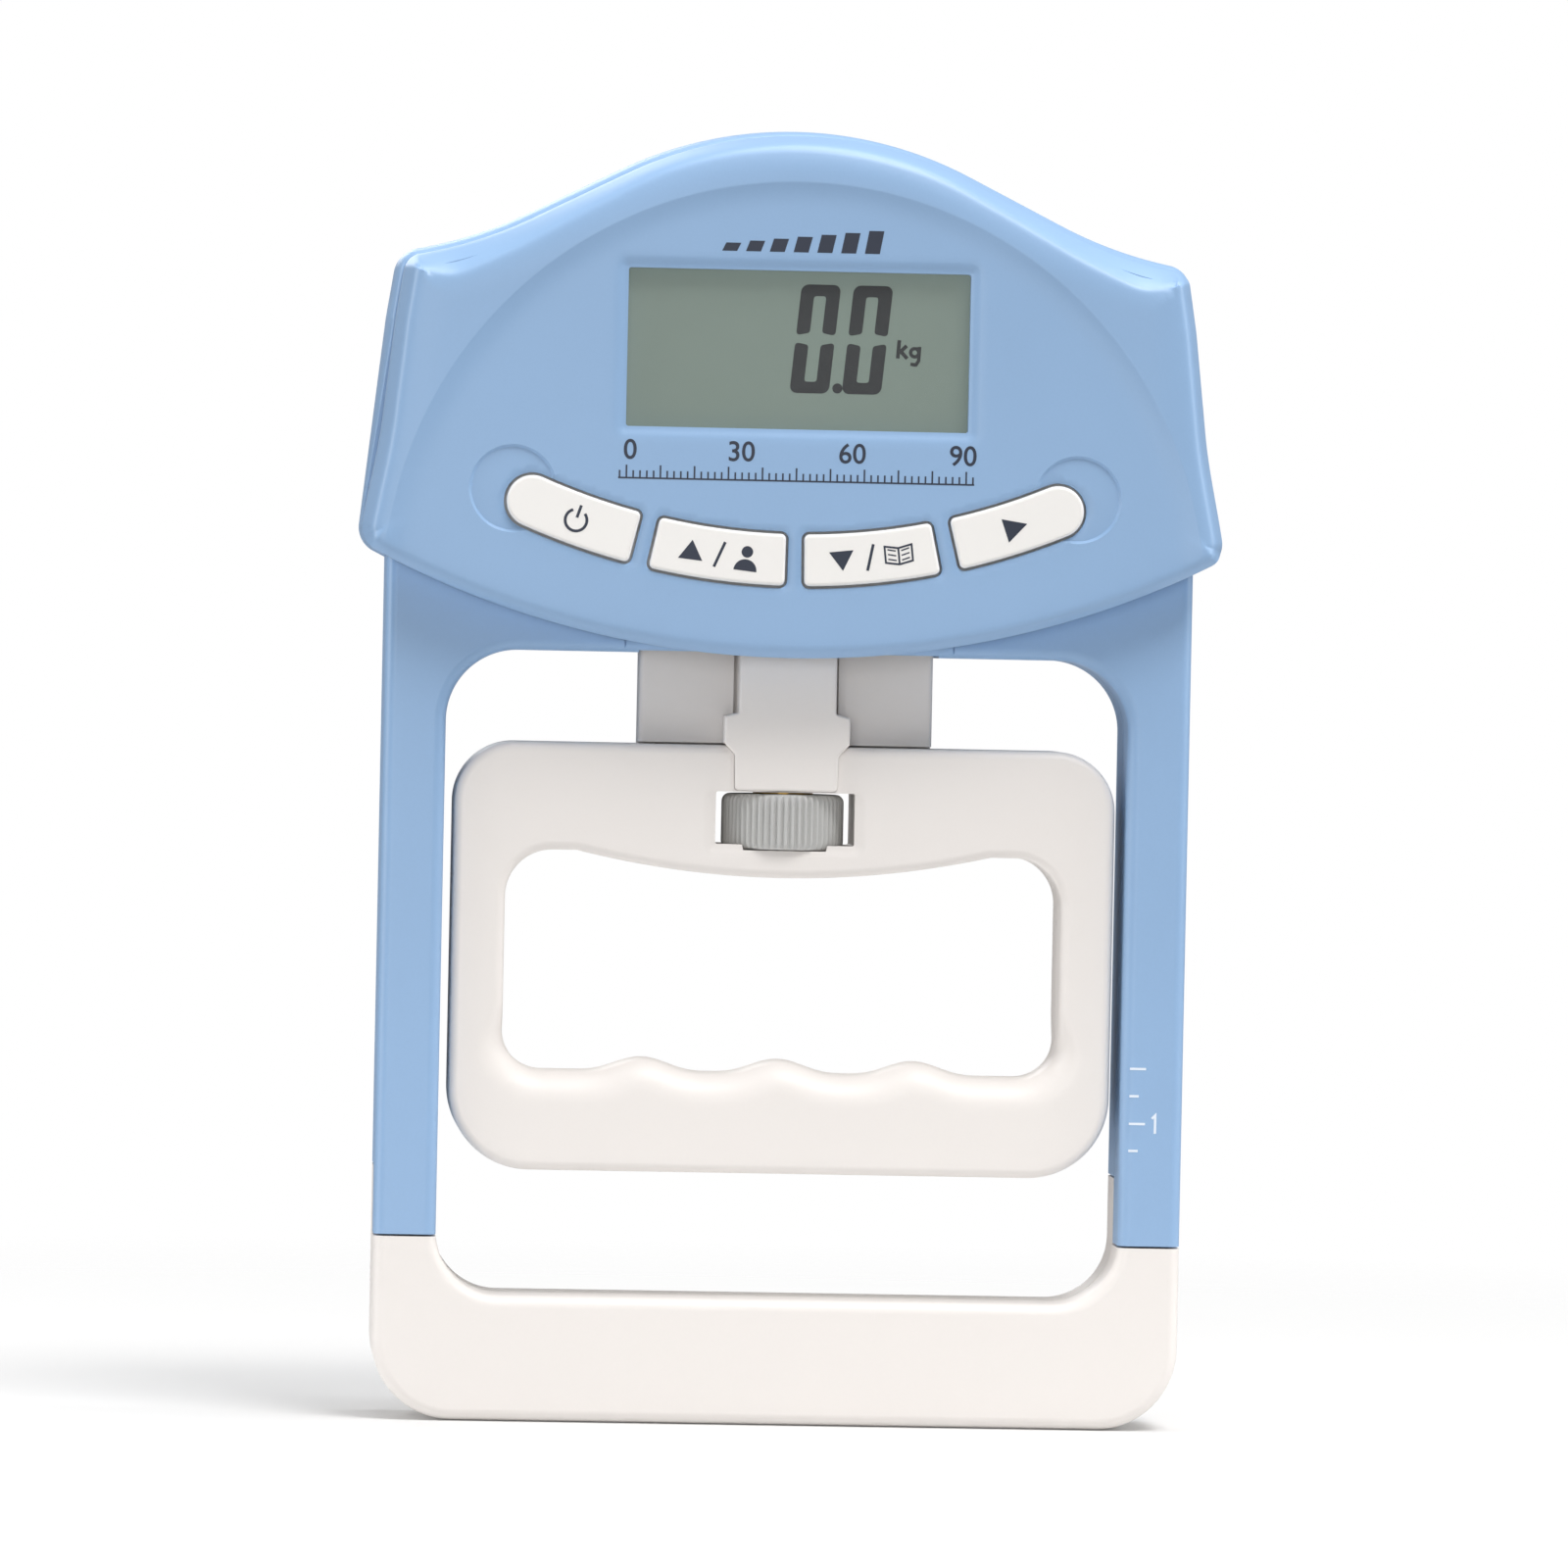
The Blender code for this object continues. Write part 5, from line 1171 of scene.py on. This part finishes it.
def handle_relief(points):
    fall = quarter(nearest(points, OUTER)[0], OUTER_ROUND)
    distance, sides, shares = nearest(points, HOLE)
    fall = fall + quarter(distance, along(HOLE_ROUND, sides, shares))
    gap = rectangle_gap(points, WINDOW_HALF, SILL, WINDOW_TOP)
    lower = smooth(WINDOW_TOP + 0.0005 - points[:, 1], 0, 0.002)
    return fall + CHAMFER_DEPTH * lower * (1 - smooth(gap, 0, CHAMFER_REACH))


print("handle outline", len(OUTER), "points, finger hole", len(HOLE))

# %% [markdown]
# ### Its shells
# Both halves are the same skin, one facing forwards and one backwards. The wheel's pocket and the sleeve's
# bore are turned out of the pair. The neck, a hollow plate with a fork for the pull rod, belongs to the
# rear half: it is carved by itself and then joined to it by two lugs.

# %% Handle shells
def handle_shell(name, face, seam):
    sign = 1 if face < seam else -1

    def depth(points):
        return face + sign * handle_relief(points)

    rings = [inset(OUTER, OUTER_ROUND * (1 - math.cos(t))) for t in quarter_turns(8)[1:]]
    rings += [inset(HOLE, list(-HOLE_ROUND * (1 - math.cos(t)))) for t in quarter_turns(12)[1:]]
    rings += [inset(HANDLE_WINDOW, -offset) for offset in (0.0004, 0.0008, 0.0012, 0.0016, CHAMFER_REACH)]
    extra = spread([OUTER, HOLE, HANDLE_WINDOW], rings, 0.0013, 0.00009)
    return skinned(name, OUTER, [HOLE, HANDLE_WINDOW], extra, depth, [(0, seam)], seam, WHITE)


STEM_HALF = 0.0072
TAB_HALF = 0.0076
SHOULDER_HALF = 0.0093
SHOULDER_TOP = HANDLE_TOP + 0.0044
STEM_SKIN = stem_low.y + 0.0018  # depth of the stem cover's back, behind its front skin
ROD_SLOT_HALF = 0.0053
FORK_HALF = 0.0088
FORK_FOOT = NUT_FOOT - 0.0113


def stem_outline(grow=0.0):
    """The tab, the shoulders and the stem, one side mirrored; grow gives the tab's recess its clearance."""
    half = [(TAB_HALF + grow, HANDLE_TOP - 0.0066 - grow, 0.0006),
            (TAB_HALF + 0.0001 + grow, HANDLE_TOP - 0.0013, 0.0010),
            (SHOULDER_HALF + grow, HANDLE_TOP + 0.0004, 0.0008),
            (SHOULDER_HALF + grow, SHOULDER_TOP + grow, 0.0006),
            (STEM_HALF + grow, SHOULDER_TOP + 0.0005 + grow, 0.0004), (STEM_HALF + grow, stem_high.z, 0)]
    return rounded(half + [(-x, z, radius) for x, z, radius in reversed(half)])


def column(outline, low, high):
    """An outline in plan, (x, y) points, drawn up between two heights."""
    return loft("tool", [[(p.x, p.y, z) for p in outline] for z in (low, high)], WHITE)


def make_neck():
    neck = column(block(-NECK_HALF, NECK_HALF, NECK_FRONT, NECK_BACK, 0.0007), HANDLE_TOP + GAP, NECK_TOP)
    above = NECK_TOP + WALL
    cut(neck, box((-ROD_SLOT_HALF, ROD_SLOT_HALF), (-OUT, OUT), (0, above)))
    cut(neck, box((-FORK_HALF, FORK_HALF), (-OUT, OUT), (FORK_FOOT, above)))
    for side in (-1, 1):
        hollow = flank(side, FORK_HALF + WALL, NECK_HALF - WALL)
        cut(neck, box(hollow, (NECK_FRONT + WALL, OUT), (HANDLE_TOP + WALL, NECK_TOP - WALL)))
    for side in (-1, 1):
        groove = flank(side, 0.0073, 0.0078)
        cut(neck, box(groove, (-0.01, 0.0026), (HANDLE_TOP + 0.0047, NUT_FOOT - 0.0115)))
    return neck


def make_handle():
    front = handle_shell("handle_front_shell", HANDLE_FRONT, AXIS_Y - GAP / 2)
    rear = handle_shell("handle_rear_shell", HANDLE_BACK, AXIS_Y + GAP / 2)
    reach = (wheel_high.x - wheel_low.x) / 2 + 0.0004
    bore = SLEEVE_RADIUS + 0.0006
    pocket = [(reach, wheel_low.z - GAP / 2), (reach, WINDOW_TOP),
              (bore, WINDOW_TOP), (bore, HANDLE_TOP + 0.002)]
    for piece in (front, rear):
        cut(piece, turned("tool", pocket, (0, AXIS_Y, 0), "Z", 72))
    cut(front, prism("tool", stem_outline(0.00006), HANDLE_FRONT - 0.01, STEM_SKIN + GAP))
    for side in (-1, 1):
        lug = flank(side, ROD_SLOT_HALF, NECK_HALF)
        add(rear, box(lug, (AXIS_Y + GAP / 2, NECK_BACK - 0.0005), (HANDLE_TOP - 0.0024, HANDLE_TOP + 0.001)))
    add(rear, make_neck())
    cut(rear, *drills("handle_screw", AXIS_Y - WALL, HANDLE_BACK))
    cut(rear, *wells("handle_screw", HANDLE_BACK))
    place(front, "handle", "white_plastic", "handle_front")
    place(rear, "handle", "white_plastic", "handle_rear")


make_handle()

# %% [markdown]
# ## Stem cover
# A thin cap that hides the pull rod. Its tab is let into the handle's front, its shoulders rest on the
# handle, and the stem runs up into the head. Two cheeks behind the skin straddle the rod.

# %% Stem cover
def make_stem():
    piece = pillow("stem_cover_shell", stem_outline(), edges(stem_low.y, STEM_SKIN, 0.0004), WHITE)
    cheeks = (stem_low.y + 0.0005, stem_high.y)
    foot = HANDLE_TOP + GAP
    add(piece, box((-STEM_HALF, STEM_HALF), cheeks, (foot, CELL_FOOT - 0.0114)))
    add(piece, box((-SHOULDER_HALF, SHOULDER_HALF), cheeks, (foot, SHOULDER_TOP)))
    rod_room = ROD_SLOT_HALF + 0.0001
    cut(piece, box((-rod_room, rod_room), (STEM_SKIN, OUT), (0, stem_high.z + WALL)))
    return place(piece, "handle", "white_plastic", "stem_cover")


make_stem()

# %% [markdown]
# ## Adjusting wheel
# The wheel is turned with a thumb, so its rim is knurled: 56 soft flutes, run out into a rounded edge at
# both ends. It is lofted ring by ring, with the radius of each point worked out from its angle.

# %% Wheel
FLUTES = 56
FLUTE_DEPTH = 0.00050
WHEEL_ROUND = 0.0012


def make_wheel():
    low, high = wheel_low.z, wheel_high.z
    radius = (wheel_high.x - wheel_low.x) / 2
    turns = [2 * math.pi * k / (FLUTES * 10) for k in range(FLUTES * 10)]
    flutes = [((1 - math.cos(FLUTES * turn)) / 2) ** 1.4 for turn in turns]

    def ring(reaches, z):
        return [(reach * math.cos(turn), AXIS_Y + reach * math.sin(turn), z)
                for reach, turn in zip(reaches, turns)]

    rings = []
    for drop, z in edges(low, high, WHEEL_ROUND, WHEEL_ROUND, 6):
        depth = FLUTE_DEPTH * max(0, 1 - drop / (WHEEL_ROUND * 0.8))
        rings.append(ring([radius - drop - depth * flute for flute in flutes], z))
    for z in (high, low):
        rings.append(ring([SLEEVE_RADIUS + GAP] * len(turns), z))
    return place(loft("knurled_wheel", rings, GREY, closed=True), "wheel", "grey_plastic", "adjusting_wheel",
                 weighted=False)


make_wheel()

# %% [markdown]
# ## Keys
# A key is a small cap with a rounded edge. A flange at its back, wider than the hole in the cover, keeps it
# from falling out. Each key has its own body, so that it can be pressed by itself.

# %% Key caps
KEY_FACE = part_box("key_up")[0].y
KEY_ROUND = 0.00055
FLANGE = 0.0008  # width and thickness of the flange


def make_keys():
    for name, outline in KEYS.items():
        low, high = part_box("key_" + name)
        flange = high.y - FLANGE
        profile = edges(low.y, flange, KEY_ROUND, flats=6) + [(-FLANGE, flange), (-FLANGE, high.y)]
        cap = pillow("keycap_" + name, outline, profile, KEY_WHITE)
        place(cap, name + "_key", "key_plastic", "key_" + name)


make_keys()

# %% [markdown]
# ## Printing
# Printing is a film of ink: here a very thin solid that stands a few hundredths of a millimetre proud, so
# its edge stays crisp at any distance. An image of the print would blur, and it would need its own mapping.

# %% Ink helpers
INK_PROUD = 0.00003


def stroke(points, width):
    """Outline of a line of even width through the points."""
    line = [Vector(p) for p in points]
    left, right_side = [], []
    for i, here in enumerate(line):
        before = (here - line[i - 1]).normalized() if i else (line[1] - here).normalized()
        after = (line[i + 1] - here).normalized() if i + 1 < len(line) else before
        normal = Vector((-before.y - after.y, before.x + after.x))
        normal *= width / 2 / (1 + before.dot(after))
        left.append(here + normal)
        right_side.append(here - normal)
    return right_side + left[::-1]


def arc(x, z, radius, begin, end, steps=24):
    turns = [math.radians(begin + (end - begin) * k / steps) for k in range(steps + 1)]
    return [(x + radius * math.cos(t), z + radius * math.sin(t)) for t in turns]


def moved(outline, x, z, turn=0.0):
    return [Vector((x, z)) + Matrix.Rotation(turn, 2) @ Vector(p) for p in outline]


def printed(name, outlines, surface, body, paint=INK):
    """One thin solid from outlines that may touch one another, on a face at the given depth."""
    films = []
    for outline in outlines:
        area = sum(a.x * b.y - b.x * a.y for a, b in zip(outline, outline[1:] + outline[:1]))
        ordered = outline if area > 0 else outline[::-1]
        films.append(prism(name, ordered, surface - INK_PROUD, surface + INK_PROUD, paint))
    first = films[0]
    for film in films[1:]:
        add(first, film)
    first.name = name
    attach(first, body)
    print(name, len(outlines), "outlines on", body)
    return first


# %% [markdown]
# ### The signs on the keys
# The signs are generic: a power ring, up and down triangles with a person and a book, and a start triangle.
# Each is drawn about its own middle, then shifted on its key and turned with the key's place on the arc.

# %% Key signs
BOLD = 0.00042
FINE = 0.00028


def key_place(name):
    low, high = (KEY_TURNS[0], KEY_TURNS[1]) if name in ("up", "down") else (KEY_TURNS[2], KEY_TURNS[3])
    side = 1 if name in ("down", "start") else -1
    turn = (low + high) / 2 + (math.radians(0.6) if name in ("power", "start") else 0)
    return side * KEY_RADIUS * math.sin(turn), KEY_CENTRE - KEY_RADIUS * math.cos(turn), side * turn


def make_signs():
    slash = stroke([(-0.0006, -0.0019), (0.0006, 0.0019)], BOLD)
    triangle = [(-0.0018, -0.0013), (0.0018, -0.0013), (0, 0.0016)]
    shoulders = [(-0.0017, -0.0019), (0.0017, -0.0019)] + arc(0, -0.0019, 0.0017, 0, 180)[1:-1]
    person = [disc(0, 0.0009, 0.00085, 24), shoulders]
    page = 0.0020
    book = [stroke([(0, -0.0014), (side * page, -0.0010), (side * page, 0.0014), (0, 0.0010)], FINE)
            for side in (-1, 1)] + [stroke([(0, -0.0015), (0, 0.0011)], FINE)]
    lines = [stroke([(side * 0.0004, z - 0.0001), (side * 0.0016, z + 0.0002)], 0.00020)
             for side in (-1, 1) for z in (-0.0007, 0, 0.0007)]
    ring = stroke(arc(0, -0.0002, 0.0016, 125, 415), BOLD)
    bar = stroke([(0, 0.0002), (0, 0.0021)], BOLD)
    play = [(-0.0014, -0.0018), (0.0020, 0), (-0.0014, 0.0018)]
    signs = {"power": [(ring, 0), (bar, 0)],
             "up": [(triangle, -0.0042), (slash, 0)] + [(part, 0.0040) for part in person],
             "down": [([(x, -z) for x, z in triangle], -0.0042), (slash, 0)]
                     + [(part, 0.0042) for part in book + lines],
             "start": [(play, 0)]}
    for name, parts in signs.items():
        x, z, turn = key_place(name)
        outlines = [moved([(p[0] + shift, p[1]) for p in part], x, z, turn) for part, shift in parts]
        printed("sign_" + name, outlines, KEY_FACE, name + "_key")


make_signs()

# %% [markdown]
# ### The scale, the bars and the leg's marks
# The scale and the bars under and over the display are dark, and the marks on the leg, which show how far
# the handle is let down, are pale. The numbers are text in Blender's own typeface, made solid.

# %% Printing on the face and the leg
SCALE_FOOT = 0.1394
SCALE_HALF = 0.0262
SCALE_LINE = 0.00024
NUMBERS_FOOT = 0.1422
NUMBERS_PITCH = 0.01633
BARS_FOOT = 0.1730
BARS_PITCH = 0.0035
LEG_LINE = 0.00035
LEG_MARKS = {0.05365: 0.0541, 0.0496: 0.0531, 0.0455: 0.0541, 0.0415: 0.0531}  # height: right-hand end


def numeral(name, number, x, z, height, surface):
    """A number set in Blender's own plain typeface, turned into a thin solid on a face."""
    text = bpy.data.curves.new(name, "FONT")
    text.body = number
    text.size = height * 1.38
    text.align_x = "CENTER"
    text.extrude = INK_PROUD
    text.offset = height * 0.012
    text.resolution_u = 6
    flat = bpy.data.objects.new(name, text)
    bpy.context.scene.collection.objects.link(flat)
    bpy.context.view_layer.update()
    shape = bpy.data.meshes.new_from_object(flat)
    bpy.data.objects.remove(flat)
    work = bmesh.new()
    work.from_mesh(shape)
    bmesh.ops.remove_doubles(work, verts=work.verts, dist=1e-7)
    upright = Matrix.Translation((x, surface, z)) @ Matrix.Rotation(math.pi / 2, 4, "X")
    bmesh.ops.transform(work, matrix=upright, verts=work.verts)
    work.to_mesh(shape)
    work.free()
    shape.materials.clear()
    shape.materials.append(INK)
    made = bpy.data.objects.new(name, shape)
    bpy.context.scene.collection.objects.link(made)
    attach(made, "frame")
    print(name, len(shape.polygons), "faces")


def bar_outline(k):
    """One leaning bar of the row, each taller than the one before."""
    height = 0.0012 + 0.00036 * k
    x = -3 * BARS_PITCH + BARS_PITCH * k
    half, lean = 0.0011, 0.0006
    top = BARS_FOOT + height
    return [Vector(p) for p in [(x - half, BARS_FOOT), (x + half, BARS_FOOT), (x + half + lean, top),
                                (x - half + lean, top)]]


def make_prints():
    face = FRONT + PANEL_STEP
    printed("strength_bars", [bar_outline(k) for k in range(7)], face, "frame")
    lines = [stroke([(-SCALE_HALF, SCALE_FOOT), (SCALE_HALF, SCALE_FOOT)], SCALE_LINE)]
    for k in range(-26, 27):
        tall = 0.0019 if k % 5 == 0 else 0.0011
        lines.append(stroke([(k * 0.001, SCALE_FOOT), (k * 0.001, SCALE_FOOT + tall)], SCALE_LINE))
    printed("scale_print", lines, face, "frame")
    for k, number in enumerate(("0", "30", "60", "90")):
        numeral("scale_number_" + number, number, -0.0245 + NUMBERS_PITCH * k, NUMBERS_FOOT, 0.0030, face)
    marks = [stroke([(0.0517, z), (end, z)], LEG_LINE) for z, end in LEG_MARKS.items()]
    number = stroke([(0.0551, 0.0463), (0.0556, 0.0468), (0.0556, 0.0441)], LEG_LINE)
    printed("travel_marks", [*marks, number], LEG_FRONT, "frame", PALE_INK)


make_prints()

# %% [markdown]
# ### The display's figures
# The display shows its resting reading: two noughts with a point, and the unit. A nought's segments run
# together in pairs of an arch and a cup, and all lean a little. They lie on the glass, behind the lens.

# %% Display figures
DIGIT_WIDTH = 0.0058
DIGIT_HEIGHT = 0.0160
DIGIT_FOOT = 0.1524
DIGIT_LEAN = math.tan(math.radians(5.5))
DIGIT_MIDDLES = (0.0025, 0.0102)
SEGMENT = 0.0020
UNIT_LINE = 0.00055
UNIT_THIN = 0.00052


def nought():
    """A nought of the display as it lights up: an arch and a cup, each three segments that run together."""
    foot = DIGIT_HEIGHT / 2 + 0.0005
    inner_foot = foot + 0.0004
    crown = DIGIT_HEIGHT - SEGMENT * 0.85
    upper = rounded([(0, foot, 0.0005), (0, DIGIT_HEIGHT, 0.0011), (DIGIT_WIDTH, DIGIT_HEIGHT, 0.0011),
                     (DIGIT_WIDTH, foot, 0.0005), (DIGIT_WIDTH - SEGMENT, inner_foot, 0.0005),
                     (DIGIT_WIDTH - SEGMENT, crown, 0.0004), (SEGMENT, crown, 0.0004),
                     (SEGMENT, inner_foot, 0.0005)])
    return [upper, [Vector((p.x, DIGIT_HEIGHT - p.y)) for p in upper]]


def unit(x, z):
    """The letters of the unit, kg, from a few strokes; x and z are the foot of the k."""
    return [stroke([(x, z), (x + 0.0002, z + 0.0027)], UNIT_LINE),
            stroke([(x + 0.0002, z + 0.0008), (x + 0.0013, z + 0.0019)], UNIT_LINE),
            stroke([(x + 0.0005, z + 0.0010), (x + 0.0014, z)], UNIT_LINE),
            stroke(arc(x + 0.0025, z + 0.0009, 0.00060, 0, 345), UNIT_THIN),
            stroke([(x + 0.0032, z + 0.0018), (x + 0.0031, z - 0.0003), (x + 0.0027, z - 0.0009),
                    (x + 0.0019, z - 0.0008)], UNIT_THIN)]


def make_digits():
    parts = []
    for middle in DIGIT_MIDDLES:
        left = middle - DIGIT_WIDTH / 2 - DIGIT_HEIGHT / 2 * DIGIT_LEAN
        for part in nought():
            parts.append([Vector((left + p.x + p.y * DIGIT_LEAN, DIGIT_FOOT + p.y)) for p in part])
    parts.append(disc(0.0059, DIGIT_FOOT + 0.0008, 0.00075, 20))
    parts += unit(0.0147, 0.1578)
    films = printed("display_digits", parts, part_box("lcd_glass")[0].y, "frame", DIGIT)


make_digits()

# %% [markdown]
# ## Screws
# Each screw gets a rolled thread, a pan head and a cross recess. The thread is a stack of ridges: from
# outside no one sees whether it climbs.

# %% Screws
THREAD_PITCH = 0.0006


def make_screw(kind, number):
    _, shank, height = SCREWS[kind]
    low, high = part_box(f"{kind}_{number}")
    middle = (low + high) / 2
    head = (high.x - low.x) / 2
    facing = -1 if kind == "bracket_screw" else 1
    tip, crown = (low.y, high.y) if facing > 0 else (high.y, low.y)
    seat = crown - facing * height
    step = facing * THREAD_PITCH
    profile = [(shank * 0.3, tip)]
    for k in range(int(abs(seat - tip) / THREAD_PITCH) - 1):
        profile += [(shank, tip + step * (k + 0.6)), (shank * 0.80, tip + step * (k + 1.1))]
    profile += [(shank, seat - facing * 0.0002), (shank, seat), (head * 0.97, seat),
                (head, seat + facing * 0.0001), (head, seat + facing * height * 0.35),
                (head * 0.93, seat + facing * height * 0.65),
                (head * 0.74, seat + facing * height * 0.90), (head * 0.45, crown)]
    piece = turned(f"{kind}_{number}_detail", profile, (middle.x, 0, middle.z), "Y", 28, SCREW)
    arm, thick = head * 0.55, head * 0.15
    recess = sorted((crown - facing * height * 0.55, crown + facing * 0.001))
    for wide, tall in ((arm, thick), (thick, arm)):
        cut(piece, box((middle.x - wide, middle.x + wide), recess, (middle.z - tall, middle.z + tall)))
    body = "handle" if kind == "handle_screw" else "frame"
    place(piece, body, "plated_steel", f"{kind}_{number}")


for kind, (count, _, _) in SCREWS.items():
    for number in range(1, count + 1):
        make_screw(kind, number)

# %% [markdown]
# ## Inner parts
# The parts inside keep their working solids. They only need their finish, and a fine bevel where an edge
# would be too sharp to be real.

# %% Finish of the inner parts
FINISHES = {
    "lcd_window": CLEAR, "lcd_glass": LCD, "lcd_holder": BLACK, "zebra_strip": RUBBER,
    "main_board": BOARD, "cob_chip": BLACK,
    "load_cell": ALUMINIUM, "gauge_potting": SILICONE, "cell_bracket": STEEL, "cell_bolt": STEEL,
    "pull_rod": STEEL, "rod_locknut": STEEL, "threaded_sleeve": BRASS,
    "battery_1": SLEEVE, "battery_2": SLEEVE, "contact_link": STEEL, "contact_plate": STEEL,
    "contact_spring_1": STEEL, "contact_spring_2": STEEL,
    "cell_cable": GREY_WIRE, "lead_red": RED_WIRE, "lead_black": BLACK_WIRE,
}
BEVELLED = ("load_cell", "cell_bracket", "main_board", "lcd_holder", "threaded_sleeve", "cell_bolt",
            "rod_locknut")

for number in range(1, 5):
    FINISHES[f"switch_body_{number}"] = BLACK
    FINISHES[f"switch_plunger_{number}"] = STEEL
for name, paint in FINISHES.items():
    node = nodes[name]
    node.data.materials.clear()
    node.data.materials.append(paint)
    if name in BEVELLED:
        bevel = node.modifiers.new("soft_edge", "BEVEL")
        bevel.width = 0.00015
        bevel.segments = 2
        bevel.limit_method = "ANGLE"
print(len(FINISHES), "inner parts finished")

# %% [markdown]
# ## Light
# The light is what a product table has. The surround is white where the camera sees it, but lights the
# object only dimly, so the lamps can shape it: a warm one above on the right, a broad one overhead for the
# upper edges, a weak one from the front, and one each from behind, left and right for the rims. One
# bright surround would light every side alike, and the soft lines along the edges would go.

# %% Light
LAMP_AIM = Vector((0, 0, 0.10))
LAMPS = {  # place, width and height, power
    "key_lamp": ((0.40, -0.60, 1.20), (0.6, 0.4), 10.5),
    "top_lamp": ((0.15, -0.05, 1.25), (0.9, 0.7), 9.5),
    "front_lamp": ((-0.25, -1.40, 0.20), (0.5, 0.5), 3.4),
    "back_lamp": ((-0.40, 1.30, 0.70), (0.6, 0.6), 4.0),
    "left_lamp": ((-1.10, -0.15, 0.35), (0.5, 0.8), 6.0),
    "right_lamp": ((1.10, -0.10, 0.50), (0.5, 0.8), 5.0),
}
WARM = {"key_lamp": (1.0, 0.985, 0.97)}


def make_surround():
    world = bpy.data.worlds.new("surround")
    bpy.context.scene.world = world
    world.use_nodes = True
    sky = world.node_tree.nodes["Background"]
    here = Value(world.node_tree)
    seen = here.node("LightPath")
    here.plug(sky.inputs["Color"], seen.tint((0.20, 0.20, 0.20, 1), (1, 1, 1, 1)))
    sky.inputs["Strength"].default_value = 1.0


def make_lamp(name, position, size, power):
    data = bpy.data.lights.new(name, "AREA")
    data.shape = "RECTANGLE"
    data.size, data.size_y = size
    data.energy = power
    data.color = WARM.get(name, (1, 1, 1))
    made = bpy.data.objects.new(name, data)
    way = Vector(position) - LAMP_AIM
    made.matrix_world = Matrix.Translation(position) @ way.to_track_quat("Z", "Y").to_matrix().to_4x4()
    bpy.context.scene.collection.objects.link(made)
    print(name, power, "W at", position)


make_surround()
for name, settings in LAMPS.items():
    make_lamp(name, *settings)

# %% [markdown]
# ## Floor
# A pale disc just under the object takes its shadow. It fades out with the distance, so that it has no edge
# in the picture, and it is dim, because a large white sheet would light the object from below.

# %% Floor
FLOOR_RADIUS = 0.5
FLOOR_SIDES = 64


def make_floor():
    made, shader, here, where = start("pale_table", 0.7, Emission_Color=(1, 1, 1, 1), Emission_Strength=0.05)
    spot = here.noise(where, 3, 2)
    flat = here.node("VectorMath", {"operation": "LENGTH"}, {0: where}, output=1)
    finish(shader, here, spot.tint(swatch(216, 216, 216), swatch(220, 220, 220)),
           alpha=1 - flat.within(0.12, 0.45))
    rim = disc(0, 0, FLOOR_RADIUS, FLOOR_SIDES)
    floor = add_mesh("floor", [(p.x, p.y, -0.0001) for p in rim], [list(range(FLOOR_SIDES))], made)
    if floor.data.polygons[0].normal.z < 0:
        floor.data.flip_normals()
    print("floor radius", FLOOR_RADIUS)


make_floor()

# %% [markdown]
# ## The end
# No imported node may be left plain.

# %% The end
for name, node in nodes.items():
    if not node.hide_render:
        print("still plain:", name)
